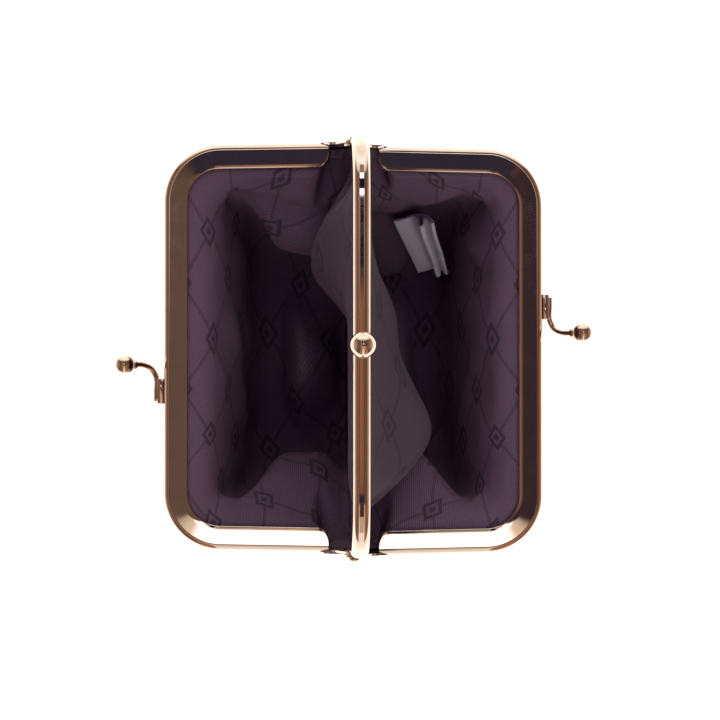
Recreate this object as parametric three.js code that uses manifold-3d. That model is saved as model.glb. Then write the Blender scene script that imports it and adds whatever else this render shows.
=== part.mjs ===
// Frame coin purse with two compartments and a three-ball kiss-lock clasp, standing on its base with both
// frame halves folded out flat, so that the mouth is wide open.
//
// Millimetres, +Z up. The hinge axis runs along Y above the origin, the front half opens to -X and the
// rear half to +X. Every cloth piece keeps its place when the two halves close.

import * as THREE from 'three';
import { mergeVertices } from 'three/addons/utils/BufferGeometryUtils.js';
import Module from 'manifold-3d';

const wasm = await Module();
wasm.setup();

// Frame
const hingeHeight = 50;
const frameWidth = 111;
const frameTopWidth = 109;
const frameHeight = 51.4;
const frameCornerRadius = 15.5;
const channelDepth = 6.6;
const barThickness = 4.4;
const sheetMetal = 0.6;
const noseRadius = 1.6;
const flangeStart = 6.9;
const flangeEndLength = 2.5;
const flangeEndDepth = 3.6;
const tabWidth = 3.2;
const tabOverlap = 2.5;
const eyeletRadius = 3;

// Hinge rivets
const rivetRadius = 1;
const rivetFit = 0.08;
const rivetHeadRadius = 1.75;
const rivetHeadHeight = 1.3;
const rivetPeenRadius = 1.6;
const rivetPeenHeight = 0.7;

// Clasp
const armWireRadius = 0.85;
const footLength = 6.8;
const footWidth = 3;
const footThickness = 1.35;
const footWall = 0.9;
const footStart = 8.5;
const sideBallRadius = 2.8;
const sideBallHeight = 10.2;
const sideBallOffset = 4.8;
const sideBallCross = 1.6;
const sideCollarRadius = 1.45;
const sideCollarLength = 0.9;
const centreBallRadius = 3.25;
const centreBallDrop = 4;
const postNeckRadius = 1.15;
const postFlangeRadius = 2;
const postFlangeHeight = 0.7;
const spigotDepth = 1.5;

// Cloth and board
const outerCloth = 0.8;
const liningCloth = 0.5;
const channelCordRadius = 0.95;
const bagWaist = 37;
const bagBulge = 50.5;
const baseHalfWidth = 31;
const baseHalfLength = 33;
const baseCornerRadius = 19;
const baseCloth = 1.2;
const baseBoard = 1.4;
const hemDepth = 1;

// Slack of the linings: how far their sides fold in, and how far the divider's two linings billow out
const foldDrop = 27;
const foldRun = 14;
const foldReach = 28.5;
const pocketReach = 38.5;
const pocketFoot = 22;
const seamReach = 34;
const seamRun = 9;
const liningFoot = 31;
const frontBillow = 10.8;
const frontBillowAt = 24;
const frontBillowWidth = 14;
const rearBillow = 18.5;
const rearBillowAt = 22;
const rearBillowWidth = 19;
const rearSwell = 8;
const rearSwellAt = 9;
const rearSwellWidth = 15;
const billowTop = 38;
const billowFull = 34;
const billowHeld = 2;
const billowRun = 13;

// Care label
const labelWidth = 19;
const labelLength = 11;
const labelTape = 0.35;
const labelLoopRadius = 1;
const labelGap = 0.2;
const labelTopShare = 0.56;
const labelTopReach = 11.5;
const labelLowShare = 0.84;
const labelLowReach = 20.5;
const labelLift = 0.35;

// Clearance between neighbouring pieces, and between brazed or riveted metal pieces
const clearance = 0.3;
const seatGap = 0.2;

// Facets
const cornerSteps = 7;
const noseSteps = 3;
const roundSteps = 20;
const bagRows = 10;
const bagCornerSteps = 5;
const bagWallSteps = 5;
const bagSideSteps = 3;
const dividerColumns = 11;
const dividerLevels = 8;

// Worked out from the sizes above
const barCentre = barThickness + clearance;
const layerPitch = sheetMetal + clearance;
const layerShift = layerPitch / 2;
const centreFrameInset = 3 * layerPitch;
const channelMouth = outerCloth + liningCloth + 3 * clearance;
const outerClothMid = channelMouth / 2 - clearance - outerCloth / 2;
const clothPitch = outerCloth / 2 + clearance + liningCloth / 2;
const dividerHalf = clearance / 2 + liningCloth;

const paleGold = { color: 0xe6cfae, roughness: 0.14, metalness: 1 };
const outerFabric = { color: 0x2a1c26, roughness: 0.9, metalness: 0 };
const liningFabric = { color: 0x463440, roughness: 0.75, metalness: 0 };
const paperCord = { color: 0xb59b78, roughness: 0.95, metalness: 0 };
const greyBoard = { color: 0x5a5450, roughness: 0.95, metalness: 0 };
const satinTape = { color: 0xd8d2d6, roughness: 0.5, metalness: 0 };

// One closed body with its faces pointing out, from points and triangles.
function solid(positions, indices) {
  const raw = new THREE.BufferGeometry();
  raw.setAttribute('position', new THREE.Float32BufferAttribute(positions, 3));
  raw.setIndex(indices);
  return tidy(raw);
}

// Merges shared points, drops faces with no area and turns the faces outwards.
function tidy(geometry) {
  const bare = new THREE.BufferGeometry();
  bare.setAttribute('position', geometry.getAttribute('position').clone());
  if (geometry.index) bare.setIndex(geometry.index.clone());
  const merged = mergeVertices(bare, 1e-4);
  const place = merged.getAttribute('position');
  const [a, b, c] = [new THREE.Vector3(), new THREE.Vector3(), new THREE.Vector3()];
  const kept = [];
  let volume = 0;
  for (let i = 0; i < merged.index.count; i += 3) {
    const corners = [0, 1, 2].map((k) => merged.index.getX(i + k));
    if (new Set(corners).size < 3) continue;
    [a, b, c].forEach((point, k) => point.fromBufferAttribute(place, corners[k]));
    volume += a.dot(b.cross(c));
    kept.push(...corners);
  }
  if (volume < 0) {
    for (let i = 0; i < kept.length; i += 3) {
      [kept[i], kept[i + 1]] = [kept[i + 1], kept[i]];
    }
  }
  merged.setIndex(kept);
  merged.computeVertexNormals();
  return merged;
}

function toManifold(geometry) {
  return new wasm.Manifold(new wasm.Mesh({
    numProp: 3,
    vertProperties: new Float32Array(geometry.getAttribute('position').array),
    triVerts: new Uint32Array(geometry.index.array),
  }));
}

function fromManifold(body) {
  const mesh = body.getMesh();
  return solid(Array.from(mesh.vertProperties), Array.from(mesh.triVerts));
}

// A flat outline drawn in Y and Z, given a thickness along X.
function plateAcross(shape, from, to, curveSegments = 8) {
  const plate = new THREE.ExtrudeGeometry(shape, { depth: to - from, bevelEnabled: false, curveSegments });
  const [alongX, alongY, alongZ] = [
    new THREE.Vector3(1, 0, 0), new THREE.Vector3(0, 1, 0), new THREE.Vector3(0, 0, 1),
  ];
  plate.applyMatrix4(new THREE.Matrix4().makeBasis(alongY, alongZ, alongX));
  plate.translate(from, 0, 0);
  return tidy(plate);
}

// A flat outline drawn in X and Z, given a thickness along Y.
function plateAlong(shape, from, to, curveSegments = 8) {
  const plate = new THREE.ExtrudeGeometry(shape, { depth: to - from, bevelEnabled: false, curveSegments });
  plate.rotateX(Math.PI / 2);
  plate.translate(0, to, 0);
  return tidy(plate);
}

// A turned piece: its outline is a list of [radius, distance along the axis], from axis to axis.
function turned(outline, origin, direction) {
  const lathe = new THREE.LatheGeometry(outline.map(([r, a]) => new THREE.Vector2(r, a)), roundSteps);
  const turn = new THREE.Quaternion().setFromUnitVectors(new THREE.Vector3(0, 1, 0), direction.clone().normalize());
  lathe.applyQuaternion(turn);
  lathe.translate(origin.x, origin.y, origin.z);
  return tidy(lathe);
}

// Points of an arc in a turned outline, for a ball centred on the axis at `middle`.
function ballArc(radius, middle, fromAngle, toAngle, steps) {
  return Array.from({ length: steps + 1 }, (_, k) => {
    const angle = fromAngle + ((toAngle - fromAngle) * k) / steps;
    return [Math.max(0, radius * Math.sin(angle)), middle - radius * Math.cos(angle)];
  });
}

// The outer edge of an arched frame, seen square to its plane: y along the hinge axis, h away from it.
// Each point carries the edge's outward normal, so that a section can be set in from it.
function archPath(inset, startHeight) {
  const [width, topWidth, height, radius] = [
    frameWidth - inset, frameTopWidth - inset, frameHeight, frameCornerRadius,
  ];
  const lean = Math.atan((width - topWidth) / 2 / height);
  const centreH = height - radius;
  const centreY = width / 2 - (radius + Math.sin(lean) * centreH) / Math.cos(lean);
  const side = [{ y: width / 2 - Math.tan(lean) * startHeight, h: startHeight, ny: Math.cos(lean), nh: Math.sin(lean) }];
  for (let k = 0; k <= cornerSteps; k += 1) {
    const angle = lean + ((Math.PI / 2 - lean) * k) / cornerSteps;
    side.push({
      y: centreY + radius * Math.cos(angle),
      h: centreH + radius * Math.sin(angle),
      ny: Math.cos(angle),
      nh: Math.sin(angle),
    });
  }
  const otherSide = side.map((p) => ({ ...p, y: -p.y, ny: -p.ny })).reverse();
  return [...side, ...otherSide];
}

// A closed section of [inward, across] points, swept along an arch.
function sweepArch(path, outline, barOffset) {
  const positions = [];
  const indices = [];
  const drawn = outline.map(([inward, across]) => new THREE.Vector2(inward, across));
  const section = THREE.ShapeUtils.isClockWise(drawn) ? [...outline].reverse() : outline;
  const count = section.length;
  path.forEach((p) => {
    section.forEach(([inward, across]) => {
      positions.push(barOffset + across, p.y - inward * p.ny, p.h - inward * p.nh);
    });
  });
  for (let i = 0; i < path.length - 1; i += 1) {
    for (let k = 0; k < count; k += 1) {
      const [a, b] = [i * count + k, i * count + ((k + 1) % count)];
      indices.push(a, b, a + count, b, b + count, a + count);
    }
  }
  const flat = section.map(([inward, across]) => new THREE.Vector2(inward, across));
  const last = (path.length - 1) * count;
  THREE.ShapeUtils.triangulateShape(flat, []).forEach(([a, b, c]) => {
    indices.push(a, c, b);
    indices.push(last + a, last + b, last + c);
  });
  return solid(positions, indices);
}

// Folded channel: a rounded nose outside and two flanges that draw together towards the mouth.
function channelSection() {
  const half = barThickness / 2;
  const side = (radius, sign) => Array.from({ length: noseSteps + 1 }, (_, k) => {
    const angle = ((Math.PI / 2) * k) / noseSteps;
    return [noseRadius - radius * Math.sin(angle), sign * (half - noseRadius + radius * Math.cos(angle))];
  });
  const outer = [
    [channelDepth, -(channelMouth / 2 + sheetMetal)],
    ...side(noseRadius, -1),
    ...side(noseRadius, 1).reverse(),
    [channelDepth, channelMouth / 2 + sheetMetal],
  ];
  const inner = [
    [channelDepth, channelMouth / 2],
    ...side(noseRadius - sheetMetal, 1),
    ...side(noseRadius - sheetMetal, -1).reverse(),
    [channelDepth, -channelMouth / 2],
  ];
  return [...outer, ...inner];
}

// What is cut off a flange end to round its inner corner, on the +Y side of the frame.
function flangeEndCut(inset, sign) {
  const [start] = archPath(inset, flangeStart);
  const point = (inward, along) => new THREE.Vector2(
    sign * (start.y - inward * start.ny - along * start.nh),
    start.h - inward * start.nh + along * start.ny,
  );
  const beyond = channelDepth + 1;
  const straight = channelDepth - flangeEndDepth;
  const corner = Array.from({ length: 7 }, (_, k) => {
    const angle = ((Math.PI / 2) * k) / 6;
    return point(
      straight + flangeEndDepth * Math.sin(angle),
      flangeEndLength * (1 - Math.cos(angle)),
    );
  });
  const shape = new THREE.Shape([
    point(straight, -1), ...corner, point(beyond, flangeEndLength), point(beyond, -1),
  ]);
  return plateAcross(shape, -barCentre - barThickness, barCentre + barThickness);
}

// Flat hinge tab with its eyelet round the hinge axis. Above the eyelet it is cranked to meet the leaning
// web of the channel, which it is one piece with.
function tabPlate(half, barOffset, sign) {
  const neck = tabWidth / 2;
  const shoulder = Math.max(flangeStart - 1, eyeletRadius + 0.5);
  const tangent = (x, side) => {
    const away = Math.hypot(x, shoulder);
    return Math.atan2(shoulder, x) + side * Math.acos(Math.min(1, eyeletRadius / away));
  };
  const shape = new THREE.Shape();
  shape.moveTo(barOffset - neck, flangeStart + tabOverlap);
  shape.lineTo(barOffset - neck, shoulder);
  shape.absarc(0, 0, eyeletRadius, tangent(barOffset - neck, 1), tangent(barOffset + neck, -1) + 2 * Math.PI, false);
  shape.lineTo(barOffset + neck, shoulder);
  shape.lineTo(barOffset + neck, flangeStart + tabOverlap);
  shape.closePath();
  const plate = plateAlong(shape, half - sheetMetal, half, 16);
  const slope = (frameWidth - frameTopWidth) / 2 / frameHeight;
  const place = plate.getAttribute('position');
  for (let i = 0; i < place.count; i += 1) {
    const height = place.getZ(i);
    const crank = Math.min(1, Math.max(0, (height - eyeletRadius) / (flangeStart - eyeletRadius)));
    const drop = slope * (crank * flangeStart + Math.max(0, height - flangeStart));
    place.setY(i, sign * (place.getY(i) - drop));
  }
  return tidy(plate);
}

function pinHole(radius, reach) {
  const hole = new THREE.CylinderGeometry(radius, radius, 2 * reach, 24);
  return tidy(hole);
}

// A frame arch with its channel, rounded flange ends, hinge tabs and eyelets.
function frameArch(inset, barOffset) {
  const half = (frameWidth - inset) / 2;
  let body = toManifold(sweepArch(archPath(inset, flangeStart), channelSection(), barOffset));
  [1, -1].forEach((sign) => {
    body = body.subtract(toManifold(flangeEndCut(inset, sign)));
  });
  [1, -1].forEach((sign) => {
    body = body.add(toManifold(tabPlate(half, barOffset, sign)));
  });
  body = body.subtract(toManifold(pinHole(rivetRadius + rivetFit, frameWidth)));
  return fromManifold(body);
}

// Twisted paper cord pressed into a channel to grip the cloth.
function channelCord(inset, barOffset) {
  const seat = sheetMetal + clearance + channelCordRadius;
  const section = Array.from({ length: 8 }, (_, k) => {
    const angle = (Math.PI / 4) * (k + 0.5);
    return [seat + channelCordRadius * Math.cos(angle), channelCordRadius * Math.sin(angle)];
  });
  return sweepArch(archPath(inset, flangeStart + flangeEndLength + clearance), section, barOffset);
}

function named(name, geometry, finish) {
  const mesh = new THREE.Mesh(geometry, new THREE.MeshStandardMaterial(finish));
  mesh.name = name;
  return mesh;
}

// One frame half, built closed and upright about the hinge axis, with its share of the clasp.
function frameHalf(side) {
  const half = new THREE.Group();
  const arch = frameArch(0, -barCentre);
  arch.translate(0, layerShift, 0);
  half.add(named(`${side}_frame_half`, arch, paleGold));
  const cord = channelCord(0, -barCentre);
  cord.translate(0, layerShift, 0);
  half.add(named(`${side}_channel_cord`, cord, paperCord));

  // Foot saddle brazed on the outer edge of the bar, with a groove that the wire lies in
  const footBottom = frameHeight + seatGap;
  const wireHeight = footBottom + footWall + armWireRadius;
  const groove = armWireRadius + seatGap / 2;
  const grooveHalfAngle = Math.asin(Math.min(1, (wireHeight - footBottom - footThickness) / groove));
  const saddle = new THREE.Shape();
  saddle.moveTo(-barCentre - footWidth / 2, footBottom);
  saddle.lineTo(-barCentre + footWidth / 2, footBottom);
  saddle.lineTo(-barCentre + footWidth / 2, footBottom + footThickness);
  saddle.absarc(-barCentre, wireHeight, groove, -grooveHalfAngle, -Math.PI + grooveHalfAngle, true);
  saddle.lineTo(-barCentre - footWidth / 2, footBottom + footThickness);
  saddle.closePath();
  const footEnd = footStart + footLength;
  half.add(named(`${side}_clasp_foot`, plateAlong(saddle, -footEnd, -footStart, 10), paleGold));

  // Wire arm: along the foot, then up and over towards the other half, ending in the ball
  const ballCentre = new THREE.Vector3(sideBallCross, -sideBallOffset, frameHeight + sideBallHeight);
  const rise = ballCentre.z - wireHeight;
  const cross = ballCentre.x + barCentre;
  const inward = footStart - sideBallOffset;
  const lean = new THREE.Vector3(0.75 * cross * 0.36, 0, rise * 0.25).normalize();
  const socket = sideBallRadius - spigotDepth + seatGap;
  const tip = ballCentre.clone().addScaledVector(lean, -socket);
  const route = new THREE.CatmullRomCurve3([
    new THREE.Vector3(-barCentre, -footEnd + 0.4, wireHeight),
    new THREE.Vector3(-barCentre, -(footStart + footEnd) / 2, wireHeight),
    new THREE.Vector3(-barCentre, -footStart, wireHeight),
    new THREE.Vector3(-barCentre + 0.05 * cross, -footStart + 0.66 * inward, wireHeight + 0.15 * rise),
    new THREE.Vector3(-barCentre + 0.28 * cross, -sideBallOffset - 0.02 * inward, wireHeight + 0.43 * rise),
    tip,
  ], false, 'centripetal');
  const ring = new THREE.Shape();
  ring.absarc(0, 0, armWireRadius, 0, 2 * Math.PI, false);
  const arm = new THREE.ExtrudeGeometry(ring, { steps: 22, bevelEnabled: false, extrudePath: route, curveSegments: 5 });
  half.add(named(`${side}_clasp_arm`, tidy(arm), paleGold));

  const bore = armWireRadius + seatGap;
  const entry = -sideBallRadius - sideCollarLength;
  const collarAngle = Math.asin(sideCollarRadius / sideBallRadius);
  const ballOutline = [
    [0, -sideBallRadius + spigotDepth],
    [bore, -sideBallRadius + spigotDepth],
    [bore, entry],
    [sideCollarRadius, entry],
    ...ballArc(sideBallRadius, 0, collarAngle, Math.PI, 9),
  ];
  const along = route.getTangent(1);
  half.add(named(`${side}_clasp_ball`, turned(ballOutline, ballCentre, along), paleGold));
  return half;
}

// Rivet through the three eyelets at one end of the hinge axis, headed outside and peened inside.
function hingeRivet(end) {
  const outside = frameWidth / 2 + layerShift + seatGap;
  const inside = (frameWidth - centreFrameInset) / 2 - sheetMetal - seatGap;
  const dome = Array.from({ length: 5 }, (_, k) => {
    const angle = ((Math.PI / 2) * k) / 4;
    return [rivetHeadRadius * Math.cos(angle), outside + 0.35 + (rivetHeadHeight - 0.35) * Math.sin(angle)];
  });
  const outline = [
    [0, inside - rivetPeenHeight],
    [rivetPeenRadius * 0.8, inside - rivetPeenHeight],
    [rivetPeenRadius, inside - rivetPeenHeight / 2],
    [rivetPeenRadius, inside],
    [rivetRadius, inside],
    [rivetRadius, outside],
    [rivetHeadRadius, outside],
    ...dome.slice(0, -1),
    [0, outside + rivetHeadHeight],
  ];
  return turned(outline, new THREE.Vector3(0, 0, 0), new THREE.Vector3(0, end, 0));
}

// Open bag outline in plan, from one side seam round the far wall to the other, as [x, y] points.
function bagOutline(edge, far, side, radius) {
  const round = Math.max(0.2, Math.min(radius, far - edge - 0.1, side - 0.1));
  const quarter = [];
  for (let k = 0; k < bagSideSteps; k += 1) {
    quarter.push([edge + ((far - round - edge) * k) / bagSideSteps, side]);
  }
  for (let k = 0; k <= bagCornerSteps; k += 1) {
    const angle = Math.PI / 2 - ((Math.PI / 2) * k) / bagCornerSteps;
    quarter.push([far - round + round * Math.cos(angle), side - round + round * Math.sin(angle)]);
  }
  const wall = [];
  for (let k = 1; k < bagWallSteps; k += 1) {
    wall.push([far, (side - round) * (1 - (2 * k) / bagWallSteps)]);
  }
  return [...quarter, ...wall, ...quarter.map(([x, y]) => [x, -y]).reverse()];
}

// A sheet of cloth with a real thickness, from rows of points through its middle.
function clothSheet(rows, thickness) {
  const across = rows[0].length;
  const positions = [];
  const layer = (sign) => rows.forEach((row, i) => row.forEach((point, j) => {
    const down = rows[Math.min(i + 1, rows.length - 1)][j].clone().sub(rows[Math.max(i - 1, 0)][j]);
    const over = row[Math.min(j + 1, across - 1)].clone().sub(row[Math.max(j - 1, 0)]);
    const normal = down.cross(over).normalize();
    positions.push(...point.clone().addScaledVector(normal, (sign * thickness) / 2).toArray());
  }));
  layer(1);
  layer(-1);
  const indices = [];
  const under = rows.length * across;
  const quad = (a, b, c, d) => indices.push(a, b, c, a, c, d);
  for (let i = 0; i < rows.length - 1; i += 1) {
    for (let j = 0; j < across - 1; j += 1) {
      const [a, b, c, d] = [i * across + j, (i + 1) * across + j, (i + 1) * across + j + 1, i * across + j + 1];
      quad(a, b, c, d);
      quad(under + a, under + d, under + c, under + b);
    }
  }
  const rim = [];
  for (let j = 0; j < across - 1; j += 1) rim.push(j);
  for (let i = 0; i < rows.length - 1; i += 1) rim.push(i * across + across - 1);
  for (let j = across - 1; j > 0; j -= 1) rim.push((rows.length - 1) * across + j);
  for (let i = rows.length - 1; i > 0; i -= 1) rim.push(i * across);
  rim.forEach((a, k) => {
    const b = rim[(k + 1) % rim.length];
    quad(a, b, under + b, under + a);
  });
  return solid(positions, indices);
}

// Heights, reach and half width of the outer bag, from the frame's mouth down to the base.
const mouthFar = frameHeight - channelDepth - clearance;
const mouthSide = frameTopWidth / 2 - layerShift - channelDepth - clearance - outerCloth / 2;
const mouthRadius = frameCornerRadius - channelDepth - clearance;
const mouthHeight = -barCentre - outerClothMid;
const bagFoot = -hingeHeight + baseCloth + clearance + outerCloth / 2;
const level = (share) => mouthHeight + (bagFoot - mouthHeight) * share;
const bagProfile = new THREE.CatmullRomCurve3([
  new THREE.Vector3(mouthFar, mouthSide, mouthHeight),
  new THREE.Vector3((mouthFar + bagWaist) / 2, mouthSide + 0.3, level(0.035)),
  new THREE.Vector3(bagWaist + 0.8, (mouthSide + bagBulge) / 2, level(0.15)),
  new THREE.Vector3(bagWaist, bagBulge, level(0.38)),
  new THREE.Vector3(bagWaist - 0.5, bagBulge - 3, level(0.62)),
  new THREE.Vector3((bagWaist + baseHalfWidth) / 2 + 0.8, (bagBulge + baseHalfLength) / 2, level(0.83)),
  new THREE.Vector3(baseHalfWidth, baseHalfLength, bagFoot),
], false, 'centripetal');

const profileRow = (share) => {
  const point = bagProfile.getPoint(share);
  const radius = mouthRadius + (baseCornerRadius - mouthRadius) * share;
  return { far: point.x, side: point.y, z: point.z, radius };
};

// The lining hangs inside the outer cloth: against it at the mouth and the far wall. Between the far corners
// and the divider's seams its sides have slack, and fold in towards the middle.
const liningFloor = -hingeHeight + baseCloth + baseBoard + 2 * clearance + liningCloth / 2;
const liningInset = (share) => {
  const point = bagProfile.getPoint(share);
  const run = bagProfile.getTangent(share);
  const fall = new THREE.Vector2(run.x, run.z).normalize();
  return { far: point.x + fall.y * clothPitch, side: point.y - clothPitch, z: point.z - fall.x * clothPitch };
};
const liningTop = liningInset(0).z;
const liningStretch = (liningFloor - liningTop) / (liningInset(1).z - liningTop);
const liningRow = (share) => {
  const row = liningInset(share);
  return { ...row, z: liningTop + (row.z - liningTop) * liningStretch, radius: profileRow(share).radius - clothPitch };
};

const mix = (a, b, share) => a + (b - a) * share;
const liningFolds = {
  '-1': { 1: { reach: foldReach, foot: liningFoot }, '-1': { reach: foldReach, foot: liningFoot } },
  1: { 1: { reach: pocketReach, foot: pocketFoot }, '-1': { reach: foldReach, foot: liningFoot } },
};

// Half width at a height of cloth that hangs slack from its mouth in to its reach, and then on to its foot.
function slackSide(z, mouth, { reach, foot }) {
  const down = (liningTop - z) / (liningTop + foldDrop);
  if (down < 1) return mix(mouth, reach, Math.sin((Math.max(0, down) * Math.PI) / 2));
  return mix(reach, foot, THREE.MathUtils.smoothstep(-z, foldDrop, -liningFloor));
}
const seamSide = (z) => slackSide(z, liningRow(0).side, { reach: seamReach, foot: liningFoot });

function liningSide(x, y, row, sign) {
  const way = Math.sign(y) || 1;
  const folded = slackSide(row.z, liningRow(0).side, liningFolds[sign][way]);
  const inFold = THREE.MathUtils.smoothstep(row.far - x, 0, foldRun);
  const inSeam = 1 - THREE.MathUtils.smoothstep(x, dividerHalf + clearance, seamRun);
  const pulled = y + way * (folded - row.side) * inFold;
  return mix(pulled, way * seamSide(row.z), inSeam);
}

const placeRow = (row, edge, sign) => bagOutline(edge, row.far, row.side, row.radius).map(
  ([x, y]) => new THREE.Vector3(sign * x, y, row.z),
);

function outerPanel(sign) {
  const rows = [];
  for (let i = 0; i <= bagRows; i += 1) rows.push(placeRow(profileRow(i / bagRows), clearance / 2, sign));
  return clothSheet(rows, outerCloth);
}

function liningPouch(sign) {
  const edge = dividerHalf + clearance;
  const rows = [];
  for (let i = 0; i <= bagRows; i += 1) {
    const row = liningRow(i / bagRows);
    const fold = (point) => point.setY(liningSide(sign * point.x, point.y, row, sign));
    rows.push(placeRow(row, edge, sign).map(fold));
  }
  const foot = rows[bagRows];
  [0.6, 0.2].forEach((share) => {
    rows.push(foot.map((p) => new THREE.Vector3(mix(sign * edge, p.x, share), p.y * share, p.z)));
  });
  return clothSheet(rows, liningCloth);
}

// How far the divider's front (-1) and rear (1) lining billow out of the centre plane: the rear one to the
// rear all along, the front one with it at the -Y end and forward near the +Y end.
function billow(sign, y, z, halfWidth) {
  const swell = (height, at, width) => height * Math.exp(-(((y - at) / width) ** 2));
  const rear = swell(rearBillow, -rearBillowAt, rearBillowWidth) + swell(rearSwell, rearSwellAt, rearSwellWidth);
  const parting = THREE.MathUtils.smoothstep(y, -8, 14);
  const front = 0.86 * rear * (1 - parting) - swell(frontBillow, frontBillowAt, frontBillowWidth);
  const fromTop = THREE.MathUtils.smoothstep(billowTop - z, 0, billowFull);
  const fromFloor = THREE.MathUtils.smoothstep(z - liningFloor, 0, billowFull - seamRun);
  const held = THREE.MathUtils.smoothstep(halfWidth - billowHeld - Math.abs(y), 0, billowRun);
  return (sign < 0 ? front : rear) * fromTop * fromFloor * held;
}

// The divider's two linings fill the centre frame's arch and hang on down to the floor.
function dividerLining(sign) {
  const hem = channelDepth - hemDepth;
  const arch = archPath(centreFrameInset, flangeStart + flangeEndLength).map(
    (p) => new THREE.Vector2(Math.abs(p.y - hem * p.ny), p.h - hem * p.nh),
  );
  const edge = arch.slice(0, Math.floor(arch.length / 2));
  if (edge[0].y < edge.at(-1).y) edge.reverse();
  for (let i = 0; i <= bagRows; i += 1) {
    const { z } = liningRow(i / bagRows);
    edge.push(new THREE.Vector2(seamSide(z) + liningCloth / 2, z));
  }
  const halfWidth = (z) => {
    const k = Math.max(1, edge.findIndex((p) => p.y <= z));
    return mix(edge[k - 1].x, edge[k].x, (edge[k - 1].y - z) / (edge[k - 1].y - edge[k].y));
  };
  const corner = edge.filter((p) => p.y > edge[0].y - frameCornerRadius).map((p) => p.y);
  const foot = liningFloor + liningCloth / 2;
  const levels = [...corner];
  for (let i = 1; i <= dividerLevels; i += 1) levels.push(mix(corner.at(-1), foot, i / dividerLevels));
  const middle = sign * (dividerHalf - liningCloth / 2);
  const rows = levels.map((z) => {
    const half = halfWidth(z);
    const inner = Array.from({ length: dividerColumns }, (_, k) => (
      (half - billowHeld) * (1 - (2 * k) / (dividerColumns - 1))
    ));
    return [half, ...inner, -half].map((y) => new THREE.Vector3(middle + billow(sign, y, z, half), y, z));
  });
  return clothSheet(rows, liningCloth);
}

function baseOutline(inset) {
  const [x, y] = [baseHalfWidth - inset, baseHalfLength - inset];
  const radius = Math.max(0.5, Math.min(baseCornerRadius - inset, x - 0.1, y - 0.1));
  const shape = new THREE.Shape();
  shape.absarc(x - radius, y - radius, radius, 0, Math.PI / 2, false);
  shape.absarc(-x + radius, y - radius, radius, Math.PI / 2, Math.PI, false);
  shape.absarc(-x + radius, -y + radius, radius, Math.PI, 1.5 * Math.PI, false);
  shape.absarc(x - radius, -y + radius, radius, 1.5 * Math.PI, 2 * Math.PI, false);
  shape.closePath();
  return shape;
}

function baseSlab(inset, from, to) {
  const slab = new THREE.ExtrudeGeometry(baseOutline(inset), { depth: to - from, bevelEnabled: false, curveSegments: 7 });
  slab.translate(0, 0, from);
  return tidy(slab);
}

// Folded satin care label: a hairpin of tape whose two ends are caught in the rear lining's side seam.
function careLabel() {
  const anchor = (share, reach) => {
    const row = liningRow(share);
    const gap = liningCloth / 2 + clearance + labelGap + labelTape;
    return new THREE.Vector3(reach, liningSide(reach, row.side, row, 1) - gap * 1.2, row.z + gap * 0.5);
  };
  const top = anchor(labelTopShare, labelTopReach);
  const low = anchor(labelLowShare, labelLowReach);
  const along = low.clone().sub(top).normalize();
  const out = new THREE.Vector3(1, 0, labelLift);
  out.addScaledVector(along, -out.dot(along)).normalize();
  const over = along.clone().cross(out).normalize();
  const outerRound = labelLoopRadius + labelTape;
  const bend = labelLength - outerRound;
  const shape = new THREE.Shape();
  shape.moveTo(0, -labelGap - labelTape);
  shape.absarc(bend, 0, outerRound, -Math.PI / 2, Math.PI / 2, false);
  shape.lineTo(0, labelGap + labelTape);
  shape.lineTo(0, labelGap);
  shape.absarc(bend, 0, labelLoopRadius, Math.PI / 2, -Math.PI / 2, true);
  shape.lineTo(0, -labelGap);
  shape.closePath();
  const tape = new THREE.ExtrudeGeometry(shape, { depth: labelWidth, bevelEnabled: false, curveSegments: 7 });
  tape.translate(0, 0, -labelWidth / 2);
  const middle = top.clone().add(low).multiplyScalar(0.5);
  tape.applyMatrix4(new THREE.Matrix4().makeBasis(out, over.clone(), out.clone().cross(over)));
  tape.translate(middle.x, middle.y, middle.z);
  return tidy(tape);
}

const purse = new THREE.Group();

// Everything that turns about or stands on the hinge axis is placed from it
const hingeAxis = new THREE.Group();
hingeAxis.position.z = hingeHeight;
purse.add(hingeAxis);

hingeAxis.add(named('centre_frame', frameArch(centreFrameInset, 0), paleGold));
hingeAxis.add(named('centre_channel_cord', channelCord(centreFrameInset, 0), paperCord));
hingeAxis.add(named('left_hinge_rivet', hingeRivet(1), paleGold));
hingeAxis.add(named('right_hinge_rivet', hingeRivet(-1), paleGold));

const up = new THREE.Vector3(0, 0, 1);
const centreBall = new THREE.Vector3(0, 0, frameHeight + sideBallHeight - centreBallDrop);
const ballBore = postNeckRadius + seatGap;
const ballOutline = [
  [0, -centreBallRadius + spigotDepth],
  [ballBore, -centreBallRadius + spigotDepth],
  ...ballArc(centreBallRadius, 0, Math.asin(ballBore / centreBallRadius), Math.PI, 10),
];
hingeAxis.add(named('centre_clasp_ball', turned(ballOutline, centreBall, up), paleGold));
const postFoot = frameHeight + seatGap;
const postTop = centreBall.z - centreBallRadius + spigotDepth - seatGap;
const postOutline = [
  [0, postFoot],
  [postFlangeRadius, postFoot],
  [postFlangeRadius, postFoot + postFlangeHeight],
  [postNeckRadius, postFoot + postFlangeHeight * 1.5],
  [postNeckRadius, postTop],
  [0, postTop],
];
hingeAxis.add(named('centre_clasp_post', turned(postOutline, new THREE.Vector3(), up), paleGold));

['front', 'rear'].forEach((side) => {
  const turn = new THREE.Group();
  turn.rotation.z = side === 'front' ? 0 : Math.PI;
  const open = frameHalf(side);
  open.rotation.y = -Math.PI / 2;
  turn.add(open);
  hingeAxis.add(turn);
});

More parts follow.
